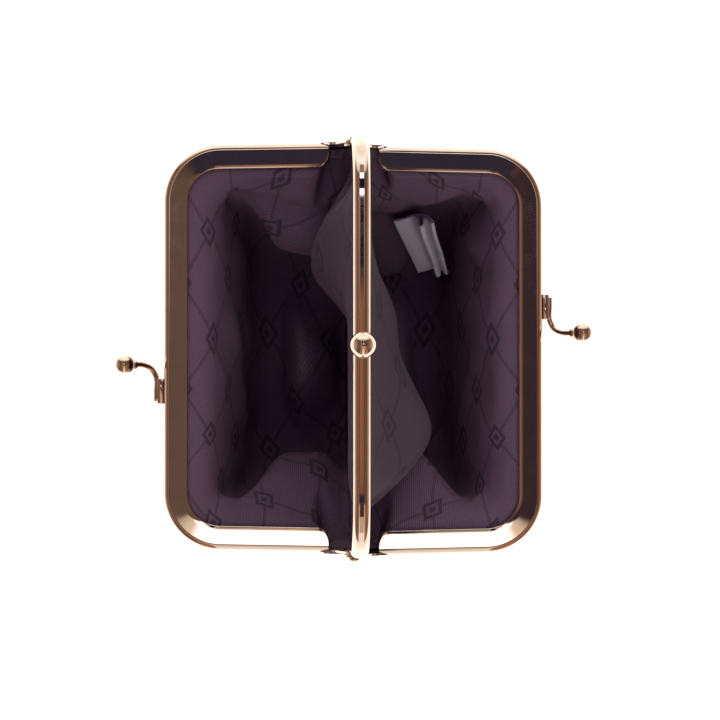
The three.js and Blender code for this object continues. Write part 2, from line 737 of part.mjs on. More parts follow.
hingeAxis.add(named('outer_front_panel', outerPanel(-1), outerFabric));
hingeAxis.add(named('outer_rear_panel', outerPanel(1), outerFabric));
hingeAxis.add(named('front_lining', liningPouch(-1), liningFabric));
hingeAxis.add(named('rear_lining', liningPouch(1), liningFabric));
hingeAxis.add(named('divider_lining_front', dividerLining(-1), liningFabric));
hingeAxis.add(named('divider_lining_rear', dividerLining(1), liningFabric));
hingeAxis.add(named('care_label', careLabel(), satinTape));

const boardInset = outerCloth + clearance;
const boardFoot = baseCloth + clearance;
purse.add(named('outer_base', baseSlab(-outerCloth / 2, 0, baseCloth), outerFabric));
purse.add(named('base_board', baseSlab(boardInset, boardFoot, boardFoot + baseBoard), greyBoard));

export default purse;
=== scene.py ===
import math

import bmesh
import bpy
import numpy as np
from mathutils import Matrix, Vector, noise


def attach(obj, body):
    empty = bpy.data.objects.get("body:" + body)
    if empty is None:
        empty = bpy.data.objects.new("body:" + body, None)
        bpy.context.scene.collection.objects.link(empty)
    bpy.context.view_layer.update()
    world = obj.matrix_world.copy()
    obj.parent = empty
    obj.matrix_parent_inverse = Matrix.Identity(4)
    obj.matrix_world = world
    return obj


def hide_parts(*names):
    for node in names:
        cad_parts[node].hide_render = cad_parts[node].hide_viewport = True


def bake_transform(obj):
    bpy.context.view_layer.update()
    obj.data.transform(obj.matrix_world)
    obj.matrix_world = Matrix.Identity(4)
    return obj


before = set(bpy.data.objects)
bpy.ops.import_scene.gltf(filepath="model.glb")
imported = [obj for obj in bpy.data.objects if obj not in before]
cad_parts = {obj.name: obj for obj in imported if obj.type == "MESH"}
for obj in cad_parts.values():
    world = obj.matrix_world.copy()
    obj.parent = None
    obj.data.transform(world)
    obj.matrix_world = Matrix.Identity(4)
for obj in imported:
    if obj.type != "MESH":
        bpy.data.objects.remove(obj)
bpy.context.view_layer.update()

# The camera hangs straight over the purse, a little to the front and right of its middle.
# All sizes are in millimetres from the base's middle, and MM turns them into metres.
MM = 0.001
HINGE = 50.0
CAMERA_PLACE = Vector((-21.9, -9.25, HINGE + 590.0))
CAMERA_AIM = Vector((1.54, -3.05, HINGE))
FIELD_WIDTH, SENSOR_WIDTH = 193.8, 36.0

sight = (CAMERA_AIM - CAMERA_PLACE).normalized()
rightwards = sight.cross(Vector((0, 1, 0))).normalized()
looking = Matrix((rightwards, rightwards.cross(sight), -sight)).transposed().to_4x4()
camera = bpy.data.objects.new("camera", bpy.data.cameras.new("camera"))
camera.matrix_world = Matrix.Translation(CAMERA_PLACE * MM) @ looking
camera.data.sensor_width = SENSOR_WIDTH
camera.data.lens = SENSOR_WIDTH * (CAMERA_AIM - CAMERA_PLACE).length / FIELD_WIDTH
camera.data.clip_start, camera.data.clip_end = 0.02, 20.0
bpy.context.scene.collection.objects.link(camera)
bpy.context.scene.camera = camera


# Outer bag: a front and a rear panel of dark plum canvas, each one sheet that runs round the far wall and
# both sides. Their upper edges are gathered a little and pressed into the frame channels. They are sewn to
# each other down the sides under the hinges, and to the base round their lower edges.
OUTER_CLOTH = 0.8
# From the mouth to the foot: the far wall's reach, the sides' half width, and the height over the hinge
BAG_PROFILE = [
    (44.5, 46.75, -5.1), (40.75, 47.05, -6.55), (37.8, 48.6, -11.5), (37.0, 50.5, -21.9),
    (36.5, 47.5, -32.3), (34.8, 42.0, -41.1), (31.0, 33.0, -48.1),
]
SEAM_GAP, CHANNEL_TUCK = 0.03, 2.6
UNDER_TAB, TAB_DROP = 55.3, 2.2
TAB_REACH, TAB_DEPTH, DROP_DEPTH = (7.5, 11.0), (8.0, 20.0), (5.0, 14.0)
MOUTH_ROUND, BASE_ROUND = 8.6, 19.0
PANEL_ROWS, TUCK_ROWS = 52, 2
GATHER, GATHER_AT, GATHER_RUN, BELLY = 0.42, 0.14, 0.11, 0.75
BLEND_LOW, BLEND_HIGH = -26.0, -6.0
FLAT_SCALE = 1 / 300.0
ONE_TURN = 6.283
CANVAS_COLOUR = (0.060, 0.034, 0.050)
CANVAS_THREAD = 0.55


def along_curve(points, share):
    """A point on a smooth centripetal curve through the given points, at a share of its spans."""
    points = [np.array(p, float) for p in points]
    spans = len(points) - 1
    at = min(share * spans, spans - 1e-9)
    i = int(at)
    t = at - i
    p1, p2 = points[i], points[i + 1]
    p0 = points[i - 1] if i else 2 * p1 - p2
    p3 = points[i + 2] if i + 2 <= spans else 2 * p2 - p1
    d0, d1, d2 = (math.sqrt(max(np.linalg.norm(b - a), 1e-6)) for a, b in ((p0, p1), (p1, p2), (p2, p3)))
    m1 = ((p1 - p0) / d0 - (p2 - p0) / (d0 + d1) + (p2 - p1) / d1) * d1
    m2 = ((p2 - p1) / d1 - (p3 - p1) / (d1 + d2) + (p3 - p2) / d2) * d1
    return p1 + m1 * t + (3 * p2 - 3 * p1 - 2 * m1 - m2) * t**2 + (2 * p1 - 2 * p2 + m1 + m2) * t**3


def open_outline(edge, far, side, round_, steps=(20, 14, 36)):
    """One row of a panel in plan: from the +Y side seam round the far wall to the -Y one, as x, y."""
    along_side, along_corner, along_wall = steps
    flat_end = far - round_
    half = [(edge + (flat_end - edge) * k / along_side, side) for k in range(along_side)]
    for k in range(along_corner + 1):
        angle = math.pi / 2 * (1 - k / along_corner)
        half.append((flat_end + round_ * math.cos(angle), side - round_ + round_ * math.sin(angle)))
    top = half[-1][1]
    wall = [(far, top + (-top - top) * k / along_wall) for k in range(1, along_wall)]
    return half + wall + [(x, -y) for x, y in reversed(half)]


def smooth_step(value, low, high):
    t = min(1.0, max(0.0, (value - low) / (high - low)))
    return t * t * (3 - 2 * t)


def fade(value, low, high):
    return 1 - smooth_step(value, low, high)


def new_piece(name, points, faces, material):
    """A smooth mesh piece from points in millimetres."""
    mesh = bpy.data.meshes.new(name)
    mesh.from_pydata((np.array(points, float).reshape(-1, 3) * MM).tolist(), [], faces)
    mesh.shade_smooth()
    mesh.materials.append(material)
    piece = bpy.data.objects.new(name, mesh)
    bpy.context.scene.collection.objects.link(piece)
    return piece


def laid_out(rows):
    """Where a sheet's points lie on its flat cloth: run from the middle column, drop from the top row."""
    rows = np.array(rows, float)
    across = np.linalg.norm(np.diff(rows, axis=1), axis=2)
    down = np.linalg.norm(np.diff(rows, axis=0), axis=2)
    run = np.pad(np.cumsum(across, axis=1), ((0, 0), (1, 0)))
    drop = np.pad(np.cumsum(down, axis=0), ((1, 0), (0, 0)))
    return np.stack([run - run[:, -1:] / 2, drop], axis=2)


def write_flat(mesh, flat):
    """Writes each point's place on the flat cloth, in millimetres, to the mesh's UV map."""
    layer = mesh.uv_layers.get("cloth") or mesh.uv_layers.new(name="cloth")
    corner = np.zeros(len(mesh.loops), np.int32)
    mesh.loops.foreach_get("vertex_index", corner)
    spread = flat.reshape(-1, 2)[corner] * FLAT_SCALE + 0.5
    layer.data.foreach_set("uv", spread.astype(np.float32).ravel())


def cloth_piece(name, rows, thickness, material, flat=None):
    """A cloth sheet from rows of points, with its own flat millimetres in its UV map."""
    rows = np.array(rows, float)
    count, across = rows.shape[:2]
    faces = [
        (i * across + j, (i + 1) * across + j, (i + 1) * across + j + 1, i * across + j + 1)
        for i in range(count - 1) for j in range(across - 1)
    ]
    piece = new_piece(name, rows, faces, material)
    write_flat(piece.data, laid_out(rows) if flat is None else flat)
    wall = piece.modifiers.new("thickness", "SOLIDIFY")
    wall.thickness, wall.offset = thickness * MM, 0.0
    return piece


def add_node(tree, kind, inputs=None, **settings):
    """A shader or geometry node with its settings, and its inputs set or linked."""
    node = tree.nodes.new(kind)
    for key, value in settings.items():
        setattr(node, key, value)
    for key, value in (inputs or {}).items():
        if isinstance(value, bpy.types.NodeSocket):
            tree.links.new(value, node.inputs[key])
        else:
            node.inputs[key].default_value = value
    return node


def out_of(tree, kind, inputs=None, **settings):
    """The first output of a new node."""
    return add_node(tree, kind, inputs, **settings).outputs[0]


def maths(tree, operation, *values):
    return out_of(tree, "ShaderNodeMath", dict(enumerate(values)), operation=operation)


def times(tree, first, second):
    return maths(tree, "MULTIPLY", first, second)


def noise_of(tree, spot, scale, detail):
    return out_of(tree, "ShaderNodeTexNoise", {"Vector": spot, "Scale": scale, "Detail": detail})


def scaled(tree, vector, amount):
    return out_of(tree, "ShaderNodeVectorMath", {0: vector, "Scale": amount}, operation="SCALE")


def shaded(tree, colour, low, high, amount):
    """A colour made darker or lighter by a mask that runs from 0 to 1."""
    return scaled(tree, colour, out_of(tree, "ShaderNodeMapRange", {0: amount, 3: low, 4: high}))


def bumped(tree, shader, height, strength, distance):
    """Raises the surface by a height mask, at a distance in metres."""
    bump = out_of(tree, "ShaderNodeBump", {"Height": height, "Strength": strength, "Distance": distance})
    tree.links.new(bump, shader.inputs["Normal"])


def object_place(tree):
    return add_node(tree, "ShaderNodeTexCoord").outputs["Object"]


def new_material(name, **constants):
    """A material with its Principled shader, and that shader's plain numbers and colours set on it."""
    material = bpy.data.materials.new(name)
    material.use_nodes = True
    shader = material.node_tree.nodes["Principled BSDF"]
    for key, value in constants.items():
        shader.inputs[key.replace("_", " ")].default_value = value
    return material, material.node_tree, shader


def shader_group(name, inputs, outputs):
    """An empty shader node group with named inputs and outputs."""
    group = bpy.data.node_groups.new(name, "ShaderNodeTree")
    for label, kind, value in inputs:
        socket = group.interface.new_socket(name=label, in_out="INPUT", socket_type=kind)
        if value is not None:
            socket.default_value = value
    for label, kind in outputs:
        group.interface.new_socket(name=label, in_out="OUTPUT", socket_type=kind)
    given, result = group.nodes.new("NodeGroupInput"), group.nodes.new("NodeGroupOutput")
    return group, given.outputs, result.inputs


# Threads of a woven cloth in its flat millimetres: ribs slanted by the twill, crossed by finer threads
weave, given, result = shader_group(
    "woven_threads",
    [("Flat", "NodeSocketVector", None), ("Pitch", "NodeSocketFloat", 0.6),
     ("Slant", "NodeSocketFloat", 0.6), ("Cross", "NodeSocketFloat", 0.5)],
    [("Height", "NodeSocketFloat"), ("Fleck", "NodeSocketFloat")],
)
run, drop, _ = add_node(weave, "ShaderNodeSeparateXYZ", {0: given["Flat"]}).outputs
wander = noise_of(weave, given["Flat"], 0.35, 1.0)
bent_run = maths(weave, "ADD", run, times(weave, wander, 0.5))
per_pitch = maths(weave, "DIVIDE", 2 * math.pi, given["Pitch"])
rib_phase = maths(weave, "ADD", times(weave, bent_run, given["Slant"]), drop)
rib = maths(weave, "SINE", times(weave, rib_phase, per_pitch))
cross_phase = maths(weave, "SUBTRACT", bent_run, times(weave, drop, 0.5))
thread = maths(weave, "SINE", times(weave, times(weave, cross_phase, per_pitch), 1.15))
crossing = times(weave, times(weave, thread, given["Cross"]), 0.5)
woven = maths(weave, "ADD", times(weave, rib, 0.5), crossing)
weave.links.new(maths(weave, "ADD", woven, 0.5), result["Height"])
weave.links.new(noise_of(weave, given["Flat"], 1.6, 2.0), result["Fleck"])


def flat_place(tree):
    """The cloth's own flat place in millimetres, from its UV map."""
    return scaled(tree, out_of(tree, "ShaderNodeUVMap", uv_map="cloth"), 1 / FLAT_SCALE)


def threads_of(tree, flat, pitch, slant, cross):
    """The height and the fleck masks of a woven cloth."""
    values = {"Flat": flat, "Pitch": pitch, "Slant": slant, "Cross": cross}
    node = add_node(tree, "ShaderNodeGroup", values, node_tree=weave)
    return node.outputs["Height"], node.outputs["Fleck"]


canvas, tree, shader = new_material("plum_canvas", Roughness=0.85, Sheen_Weight=0.1, Sheen_Roughness=0.5)
height, fleck = threads_of(tree, flat_place(tree), CANVAS_THREAD, 0.05, 0.95)
# Painted shade and light on the weave: darker in the grooves between the threads, lighter on their crests;
# the flecks are the canvas's own uneven tone
colour = shaded(tree, shaded(tree, CANVAS_COLOUR, 0.85, 1.2, height), 0.75, 1.25, fleck)
tree.links.new(colour, shader.inputs["Base Color"])
bumped(tree, shader, height, 0.5, 0.00012)


def panel_rows(sign):
    """Rows of an outer panel: the tuck in the channel, the gathered mouth, the waist and the foot."""
    rng = np.random.default_rng(21 if sign < 0 else 34)
    waves = [(rng.uniform(22, 40), rng.uniform(0, 6.28), rng.uniform(0.4, 1.0)) for _ in range(5)]
    sags = [(rng.uniform(2.0, 5.0), rng.uniform(0, 6.28), rng.uniform(1.0, 3.0)) for _ in range(4)]
    rows = []
    for i in range(-TUCK_ROWS, PANEL_ROWS + 1):
        share = max(i, 0) / PANEL_ROWS
        far, side, z = along_curve(BAG_PROFILE, share)
        tuck = CHANNEL_TUCK * max(0, -i) / TUCK_ROWS
        round_ = MOUTH_ROUND + (BASE_ROUND - MOUTH_ROUND) * share
        outline = open_outline(SEAM_GAP, far + tuck, side + tuck, round_)
        gather = GATHER * math.exp(-((share - GATHER_AT) / GATHER_RUN) ** 2)
        belly = BELLY * math.sin(math.pi * min(1, share * 1.05)) ** 2
        row = []
        for j, (x, y) in enumerate(outline):
            u = j / (len(outline) - 1)
            by_hinge = fade(x, *TAB_REACH)
            y += (math.copysign(UNDER_TAB, y) - y) * by_hinge * fade(-z, *TAB_DEPTH)
            low = by_hinge * (0.25 * max(0, -i) - TAB_DROP * fade(-z, *DROP_DEPTH))
            middle = math.sin(math.pi * u) ** 0.5 if 0 < u < 1 else 0.0
            puckers = sum(w * math.sin(ONE_TURN * f * u + p) for f, p, w in waves) / 5 * gather
            sag = sum(math.sin(ONE_TURN * f * u + p + k * share) for f, p, k in sags) / 4 * belly
            push = (puckers + sag) * middle
            outward = np.array([x - far * 0.35, y * 0.9])
            outward /= max(np.linalg.norm(outward), 1e-6)
            row.append((sign * (x + outward[0] * push), y + outward[1] * push, HINGE + z + low))
        rows.append(row)
    return rows


def folded_up(rows, sign):
    """The rows as they lie when the half is closed, which is how long the gathered cloth really is."""
    rows = np.array(rows, float)
    x, z = rows[..., 0].copy(), rows[..., 2] - HINGE
    t = np.clip((z - BLEND_LOW) / (BLEND_HIGH - BLEND_LOW), 0, 1)
    angle = math.pi / 2 * t * t * (3 - 2 * t)
    rows[..., 0] = x * np.cos(angle) - sign * z * np.sin(angle)
    rows[..., 2] = sign * x * np.sin(angle) + z * np.cos(angle)
    return rows


def close_with(piece):
    """Bakes the piece's place into its mesh points."""
    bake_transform(piece)


for side_name, sign in (("front", -1), ("rear", 1)):
    rows = panel_rows(sign)
    flat = laid_out(folded_up(rows, sign))
    panel = cloth_piece(f"outer_{side_name}_canvas", rows, OUTER_CLOTH, canvas, flat)
    close_with(panel)
    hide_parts(f"outer_{side_name}_panel")


# Side gussets: a narrow wedge of the same canvas behind each side seam. It is sewn in below the hinge and
# keeps the seam closed when the halves fold up.
GUSSET_TOP, GUSSET_FOOT, GUSSET_WIDE, GUSSET_POINT = -7.6, -43.0, 17.0, 0.6
GUSSET_ROWS, GUSSET_COLUMNS, GUSSET_CLOTH = 24, 21, 0.3
GUSSET_INSIDE, GUSSET_BOW = 0.75, 0.05
for side_name, way in (("left", 1), ("right", -1)):
    rows = []
    for i in range(GUSSET_ROWS + 1):
        z = GUSSET_TOP + (GUSSET_FOOT - GUSSET_TOP) * i / GUSSET_ROWS
        side = np.interp(-z, [-p[2] for p in BAG_PROFILE], [p[1] for p in BAG_PROFILE])
        wide = GUSSET_WIDE * (1 - i / GUSSET_ROWS) ** 0.6 + GUSSET_POINT
        row = []
        for x in np.linspace(-wide, wide, GUSSET_COLUMNS):
            out = side + (UNDER_TAB - side) * fade(abs(x), *TAB_REACH) * fade(-z, *TAB_DEPTH)
            row.append((x, way * (out - GUSSET_INSIDE - GUSSET_BOW * abs(x)), HINGE + z))
        rows.append(row)
    gusset = cloth_piece(f"{side_name}_side_gusset", rows, GUSSET_CLOTH, canvas)
    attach(gusset, "root")


# Base: an oval of the same canvas sewn to the panels' lower edges, over a stiff grey board that keeps the
# purse standing. The seam allowance makes a low raised rim under the base.
BASE_X, BASE_Y = 31.0, 33.0
# How far each ring of the base reaches past its size, and its height over the table
BASE_RINGS = [
    (-3.2, 0.25), (-2.4, 0.05), (-1.2, 0.0), (-0.1, 0.12), (0.4, 0.6), (0.2, 1.05), (-0.4, 1.2), (-6.0, 1.2),
]


def oval(x, y, round_, steps=12):
    """Rounded rectangle in plan, as x, y, all the way round."""
    points = []
    for way_x, way_y, start in ((1, 1, 0), (-1, 1, 1), (-1, -1, 2), (1, -1, 3)):
        middle_x, middle_y = way_x * (x - round_), way_y * (y - round_)
        for k in range(steps + 1):
            angle = math.pi / 2 * (start + k / steps)
            points.append((middle_x + round_ * math.cos(angle), middle_y + round_ * math.sin(angle)))
    return points


def closed_rings(name, rings, material):
    """A closed body from rings of points, with a cap at each end."""
    rings = np.array(rings, float)
    count, across = rings.shape[:2]
    faces = []
    for i in range(count - 1):
        for j in range(across):
            k = (j + 1) % across
            faces.append((i * across + j, i * across + k, (i + 1) * across + k, (i + 1) * across + j))
    faces.append(tuple(reversed(range(across))))
    faces.append(tuple(range((count - 1) * across, count * across)))
    return new_piece(name, rings, faces, material)


rings = [
    [(x, y, z) for x, y in oval(BASE_X + out, BASE_Y + out, BASE_ROUND + out)] for out, z in BASE_RINGS
]
base = closed_rings("base_canvas", rings, canvas)
write_flat(base.data, np.array(rings)[..., :2])
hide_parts("outer_base")
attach(base, "root")

board, tree, shader = new_material("grey_board", Roughness=0.95)
pulp = noise_of(tree, object_place(tree), 900.0, 4.0)
tree.links.new(shaded(tree, (0.11, 0.10, 0.092), 0.75, 1.2, pulp), shader.inputs["Base Color"])
bumped(tree, shader, pulp, 0.3, 0.0001)
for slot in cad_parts["base_board"].material_slots:
    slot.material = board


# Linings: one loose pouch of printed twill for each compartment, wider than the room it lies in, so it
# falls in soft folds. Its upper edge is pressed into the frame half's channel and its side and lower
# edges are sewn to the divider's lining of the same compartment.
LINING_CLOTH = 0.5
LINING_ROWS, FLOOR_ROWS = 46, 14
LINING_STEPS = (22, 14, 36)
FLOOR_Z = -46.6
SEAM_X = 0.6
BOTTOM_SEAM = 31.0
WALL_FALL = [
    (46.2, 49.4, -4.2), (44.4, 47.5, -4.3), (41.0, 46.2, -5.4), (38.6, 45.8, -7.6), (36.9, 46.6, -10.9),
    (34.8, 48.0, -16.5), (32.2, 48.4, -24.5), (29.8, 45.6, -33.0), (27.8, 41.0, -40.5), (25.0, 34.5, -45.4),
    (20.0, 29.0, FLOOR_Z),
]
MOUTH_Z, MOUTH_SIDE, HINGE_SIDE = -4.3, 46.6, 53.9
FOLD_DROP, FOLD_RUN, SEAM_RUN = 27.0, 14.0, 9.0
SEAM_REACH, FOOT_SIDE, SEAM_UNDER_TAB = 34.0, 31.0, 54.6
POUCH_MIDDLE = 14.0

TWILL_COLOUR = (0.150, 0.086, 0.122)
TWILL_PITCH = 0.6
TRELLIS_WIDTH, TRELLIS_HEIGHT = 30.0, 20.0
LOZENGE = 0.13
# Painted shade on the twill, by its height over the table in tenths of a metre: darker low in the pouches
# and on the divider, where less light reaches them
PAINTED_SHADE_BY_HEIGHT = [(0.0, 0.62), (0.18, 0.75), (0.36, 1.0), (0.47, 1.0), (0.56, 0.5), (1.0, 0.5)]

trellis, given, result = shader_group(
    "trellis_print",
    [("Flat", "NodeSocketVector", None), ("Width", "NodeSocketFloat", TRELLIS_WIDTH),
     ("Height", "NodeSocketFloat", TRELLIS_HEIGHT), ("Line", "NodeSocketFloat", 0.24)],
    [("Ink", "NodeSocketFloat")],
)
run, drop, _ = add_node(trellis, "ShaderNodeSeparateXYZ", {0: given["Flat"]}).outputs
drift = times(trellis, noise_of(trellis, given["Flat"], 0.03, 0.0), 9.0)
across = maths(trellis, "DIVIDE", maths(trellis, "ADD", run, drift), given["Width"])
along = maths(trellis, "DIVIDE", drop, given["Height"])
gaps = [maths(trellis, "PINGPONG", maths(trellis, way, across, along), 0.5) for way in ("ADD", "SUBTRACT")]
thin = maths(trellis, "DIVIDE", given["Line"], 13.5)


def ink_where(distance, middle, half):
    """1 where the distance is within half of middle, with a soft edge."""
    off = maths(trellis, "ABSOLUTE", maths(trellis, "SUBTRACT", distance, middle))
    limits = {0: off, 1: half, 2: times(trellis, half, 1.8), 3: 1.0, 4: 0.0}
    return out_of(trellis, "ShaderNodeMapRange", limits)


from_crossing = maths(trellis, "MAXIMUM", *gaps)
lines = maths(trellis, "MAXIMUM", ink_where(gaps[0], 0.0, thin), ink_where(gaps[1], 0.0, thin))
outside = maths(trellis, "GREATER_THAN", from_crossing, LOZENGE)
rim = ink_where(from_crossing, LOZENGE, times(trellis, thin, 1.2))
seed = ink_where(from_crossing, 0.0, 0.035)
faint = times(trellis, times(trellis, lines, outside), 0.6)
trellis.links.new(maths(trellis, "MAXIMUM", maths(trellis, "MAXIMUM", faint, rim), seed), result["Ink"])

twill, tree, shader = new_material("aubergine_twill", Roughness=0.7, Specular_IOR_Level=0.25)
flat = flat_place(tree)
height, fleck = threads_of(tree, flat, TWILL_PITCH, 0.62, 0.35)
printed = out_of(tree, "ShaderNodeGroup", {"Flat": flat}, node_tree=trellis)
# Painted shade and light on the weave: darker in the grooves between the ribs, lighter on their crests
colour = shaded(tree, TWILL_COLOUR, 0.62, 1.45, height)
colour = shaded(tree, colour, 0.85, 1.15, fleck)
colour = shaded(tree, colour, 1.0, 0.48, printed)
# Painted shade: the twill's colour is darkened low in the pouches and on the divider, by its height over the
# table
level = add_node(tree, "ShaderNodeSeparateXYZ", {0: object_place(tree)}).outputs[2]
painted_shade_curve = add_node(tree, "ShaderNodeFloatCurve", {"Value": times(tree, level, 10.0)})
painted_shade_points = painted_shade_curve.mapping.curves[0].points
painted_shade_points[0].location, painted_shade_points[-1].location = PAINTED_SHADE_BY_HEIGHT[0], PAINTED_SHADE_BY_HEIGHT[-1]
for at, much in PAINTED_SHADE_BY_HEIGHT[1:-1]:
    painted_shade_points.new(at, much)
tree.links.new(scaled(tree, colour, painted_shade_curve.outputs[0]), shader.inputs["Base Color"])
bumped(tree, shader, height, 0.45, 0.0001)


def slack_side(z, mouth, reach, foot):
    """Half width of cloth that hangs slack from its mouth in to its reach, and on to its foot."""
    down = (MOUTH_Z - z) / (MOUTH_Z + FOLD_DROP)
    if down < 1:
        return mouth + (reach - mouth) * math.sin(max(0.0, down) * math.pi / 2)
    return reach + (foot - reach) * smooth_step(-z, FOLD_DROP, -FLOOR_Z)


def seam_side(z):
    """Half width of the pouches' side seams, which reach out under the hinge tabs."""
    under_tab = smooth_step(-z, 5.4, 7.4) * fade(-z, 8.0, 13.0)
    side = slack_side(z, HINGE_SIDE, SEAM_REACH, FOOT_SIDE)
    return side + (SEAM_UNDER_TAB - side) * under_tab


def from_segment(point, start, end):
    """Distance of a point from a straight piece of line."""
    start, end = np.array(start, float), np.array(end, float)
    t = np.dot(point - start, end - start) / np.dot(end - start, end - start)
    return np.linalg.norm(point - start - (end - start) * min(1.0, max(0.0, t)))


def ripple(x, y, z):
    """Soft unevenness of unpressed cloth, in millimetres."""
    wide = noise.noise(Vector((x, y, z * 0.6)) * 0.075 + Vector((3.1, 0.7, 5.2)))
    fine = noise.noise(Vector((x, y, z * 0.5)) * 0.21)
    return 1.5 * wide + 0.4 * fine


def wall_rows(sign, sides, creases):
    """Rows of a pouch's wall: down the far side and the two folded sides, to the edge of the floor."""
    rows = []
    for i in range(LINING_ROWS + 1):
        share = i / LINING_ROWS
        far, full, z = along_curve(WALL_FALL, share)
        outline = open_outline(SEAM_X, far, full, 9.0 + 8.0 * share, LINING_STEPS)
        last = len(outline) - 1
        calm = smooth_step(share, 0.1, 0.3)
        row = []
        for j, (x, y) in enumerate(outline):
            way, (reach, foot) = (1, sides[0]) if j < last / 2 else (-1, sides[1])
            if z < MOUTH_Z:
                folded = slack_side(z, MOUTH_SIDE, reach, foot) - full
                y += way * folded * smooth_step(far - x, 0, FOLD_RUN)
            in_seam = fade(x, SEAM_X, SEAM_RUN)
            at_hinge = fade(x, 7.5, 10.5) * fade(-z, 8.5, 13.0)
            y += (way * seam_side(z) - y) * max(in_seam, at_hinge)
            spot = np.array((x, y, z))
            inward = np.array((POUCH_MIDDLE - x, -y * 1.4, 0.0))
            inward[1] *= 1 - 0.85 * smooth_step(far - abs(x), 14.0, 0.0)
            inward /= max(np.linalg.norm(inward), 1e-6)
            pull = sum(
                much * math.exp(-(from_segment(spot, a, b) / wide) ** 2) for a, b, wide, much in creases
            )
            pull += ripple(sign * x, y, z) * calm
            spot += inward * pull * smooth_step(min(j, last - j), 0, 6)
            row.append((sign * spot[0], spot[1], HINGE + z))
        rows.append(row)
    return rows


def floor_rows(sign, foot, mounds):
    """Rows of a pouch's floor: from the foot of its wall in to the bottom seam, over crumpled mounds."""
    rows = []
    last = len(foot) - 1
    for i in range(1, FLOOR_ROWS + 1):
        share = i / FLOOR_ROWS
        row = []
        for j, (x, y, z) in enumerate(foot):
            x = x + (sign * SEAM_X - x) * share
            y = y + (BOTTOM_SEAM * (1 - 2 * j / last) - y) * share
            mound = sum(
                high * math.exp(-((sign * x - at_x) / wide_x) ** 2 - ((y - at_y) / wide_y) ** 2)
                for at_x, at_y, wide_x, wide_y, high in mounds
            )
            loose = smooth_step(share, 0.0, 0.3) * smooth_step(min(j, last - j), 0, 5)
            loose *= smooth_step(1 - share, 0, 0.25)
            row.append((x, y, z + (mound + 0.8 * abs(ripple(x, y, 9.0))) * loose))
        rows.append(row)
    return rows


def grid_length(points):
    return sum(np.linalg.norm(np.diff(points, axis=way), axis=2).sum() for way in (0, 1))


def lay_flat(piece, rows):
    """The piece's UV map becomes its cloth laid flat, in its own millimetres, far wall straight down."""
    bpy.context.view_layer.objects.active = piece
    piece.select_set(True)
    bpy.ops.object.mode_set(mode="EDIT")
    bpy.ops.mesh.select_all(action="SELECT")
    bpy.ops.uv.unwrap(method="ANGLE_BASED", margin=0.0)
    bpy.ops.object.mode_set(mode="OBJECT")
    piece.select_set(False)
    corner = np.zeros(len(piece.data.loops), np.int32)
    piece.data.loops.foreach_get("vertex_index", corner)
    spread = np.zeros(len(corner) * 2, np.float32)
    piece.data.uv_layers["cloth"].data.foreach_get("uv", spread)
    laid = np.zeros((rows.shape[0] * rows.shape[1], 2))
    laid[corner] = spread.reshape(-1, 2)
    grid = laid.reshape(*rows.shape[:2], 2)
    middle = rows.shape[1] // 2
    down = grid[LINING_ROWS * 2 // 3, middle] - grid[2, middle]
    angle = math.atan2(down[0], down[1])
    spin = np.array([[math.cos(angle), -math.sin(angle)], [math.sin(angle), math.cos(angle)]])
    laid = (laid - grid[0, middle]) @ spin.T * grid_length(rows) / grid_length(grid)
    grid = laid.reshape(*rows.shape[:2], 2)
    laid[:, 0] *= np.sign(grid[5, middle + 8, 0] - grid[5, middle, 0])
    write_flat(piece.data, laid)


def rounded_off(piece):
    finer = piece.modifiers.new("smooth", "SUBSURF")
    finer.levels = finer.render_levels = 1


# For each pouch: its +Y and -Y side's reach and foot, its creases from one spot to another with their
# width and depth, and the mounds of its floor with their place, widths and height
POUCHES = [
    ("front", -1, ((28.5, 31.0), (28.5, 31.0)), [
        ((33, 42, -13), (9, 37, -15), 4.0, -4.5), ((38, 43, -9), (24, 31.5, -24), 1.9, 2.2),
        ((24, 31.5, -24), (9, 29, -27), 2.1, 2.4), ((36, -43, -8), (18, -35.5, -17), 2.4, 1.3),
        ((33, -39, -14), (16, -32, -22), 2.4, -1.2), ((34, 6, -19), (30, -20, -33), 4.0, 1.2),
    ], [(13.0, -4.0, 9.0, 13.0, 13.0), (17.0, 6.0, 5.0, 6.0, 4.0)]),
    ("rear", 1, ((38.5, 22.0), (28.5, 31.0)), [
        ((38.5, 44, -8), (19, 38.5, -16), 2.2, 1.6), ((36, 42, -14), (16, 37, -22), 4.0, -1.8),
        ((31.5, -41, -11), (17, -34, -19), 2.2, -1.4), ((35, -42, -9), (15, -37, -14), 2.6, 0.9),
        ((35, 26, -14), (33, 34, -28), 3.0, 1.4), ((34, -4, -20), (31, -24, -34), 5.0, 1.0),
    ], [(14.0, -6.0, 9.0, 16.0, 10.0)]),
]
for side_name, sign, sides, creases, mounds in POUCHES:
    walls = wall_rows(sign, sides, creases)
    rows = np.array(walls + floor_rows(sign, walls[-1], mounds))
    pouch = cloth_piece(f"{side_name}_twill_pouch", rows, LINING_CLOTH, twill)
    lay_flat(pouch, rows)
    rounded_off(pouch)
    close_with(pouch)
    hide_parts(f"{side_name}_lining")


# Divider: two more linings back to back, pressed into the centre frame's channel above and sewn into the
# two pouches below. They are slack: both billow to the rear at the -Y end, and they part near the +Y end.
DIVIDER_TOP, DIVIDER_SIDE, DIVIDER_FLARE = 46.6, 47.5, 3.5
DIVIDER_ROUND, DIVIDER_ROUND_Z = 10.4, 36.0
DIVIDER_GAP = 0.42
DIVIDER_ROWS, DIVIDER_COLUMNS = 60, 60
BILLOW_TOP, BILLOW_FULL, BILLOW_HELD, BILLOW_RUN = 38.0, 34.0, 2.0, 13.0
DIVIDER_LIP, CHANNEL_HOLD = 2.4, 2.0


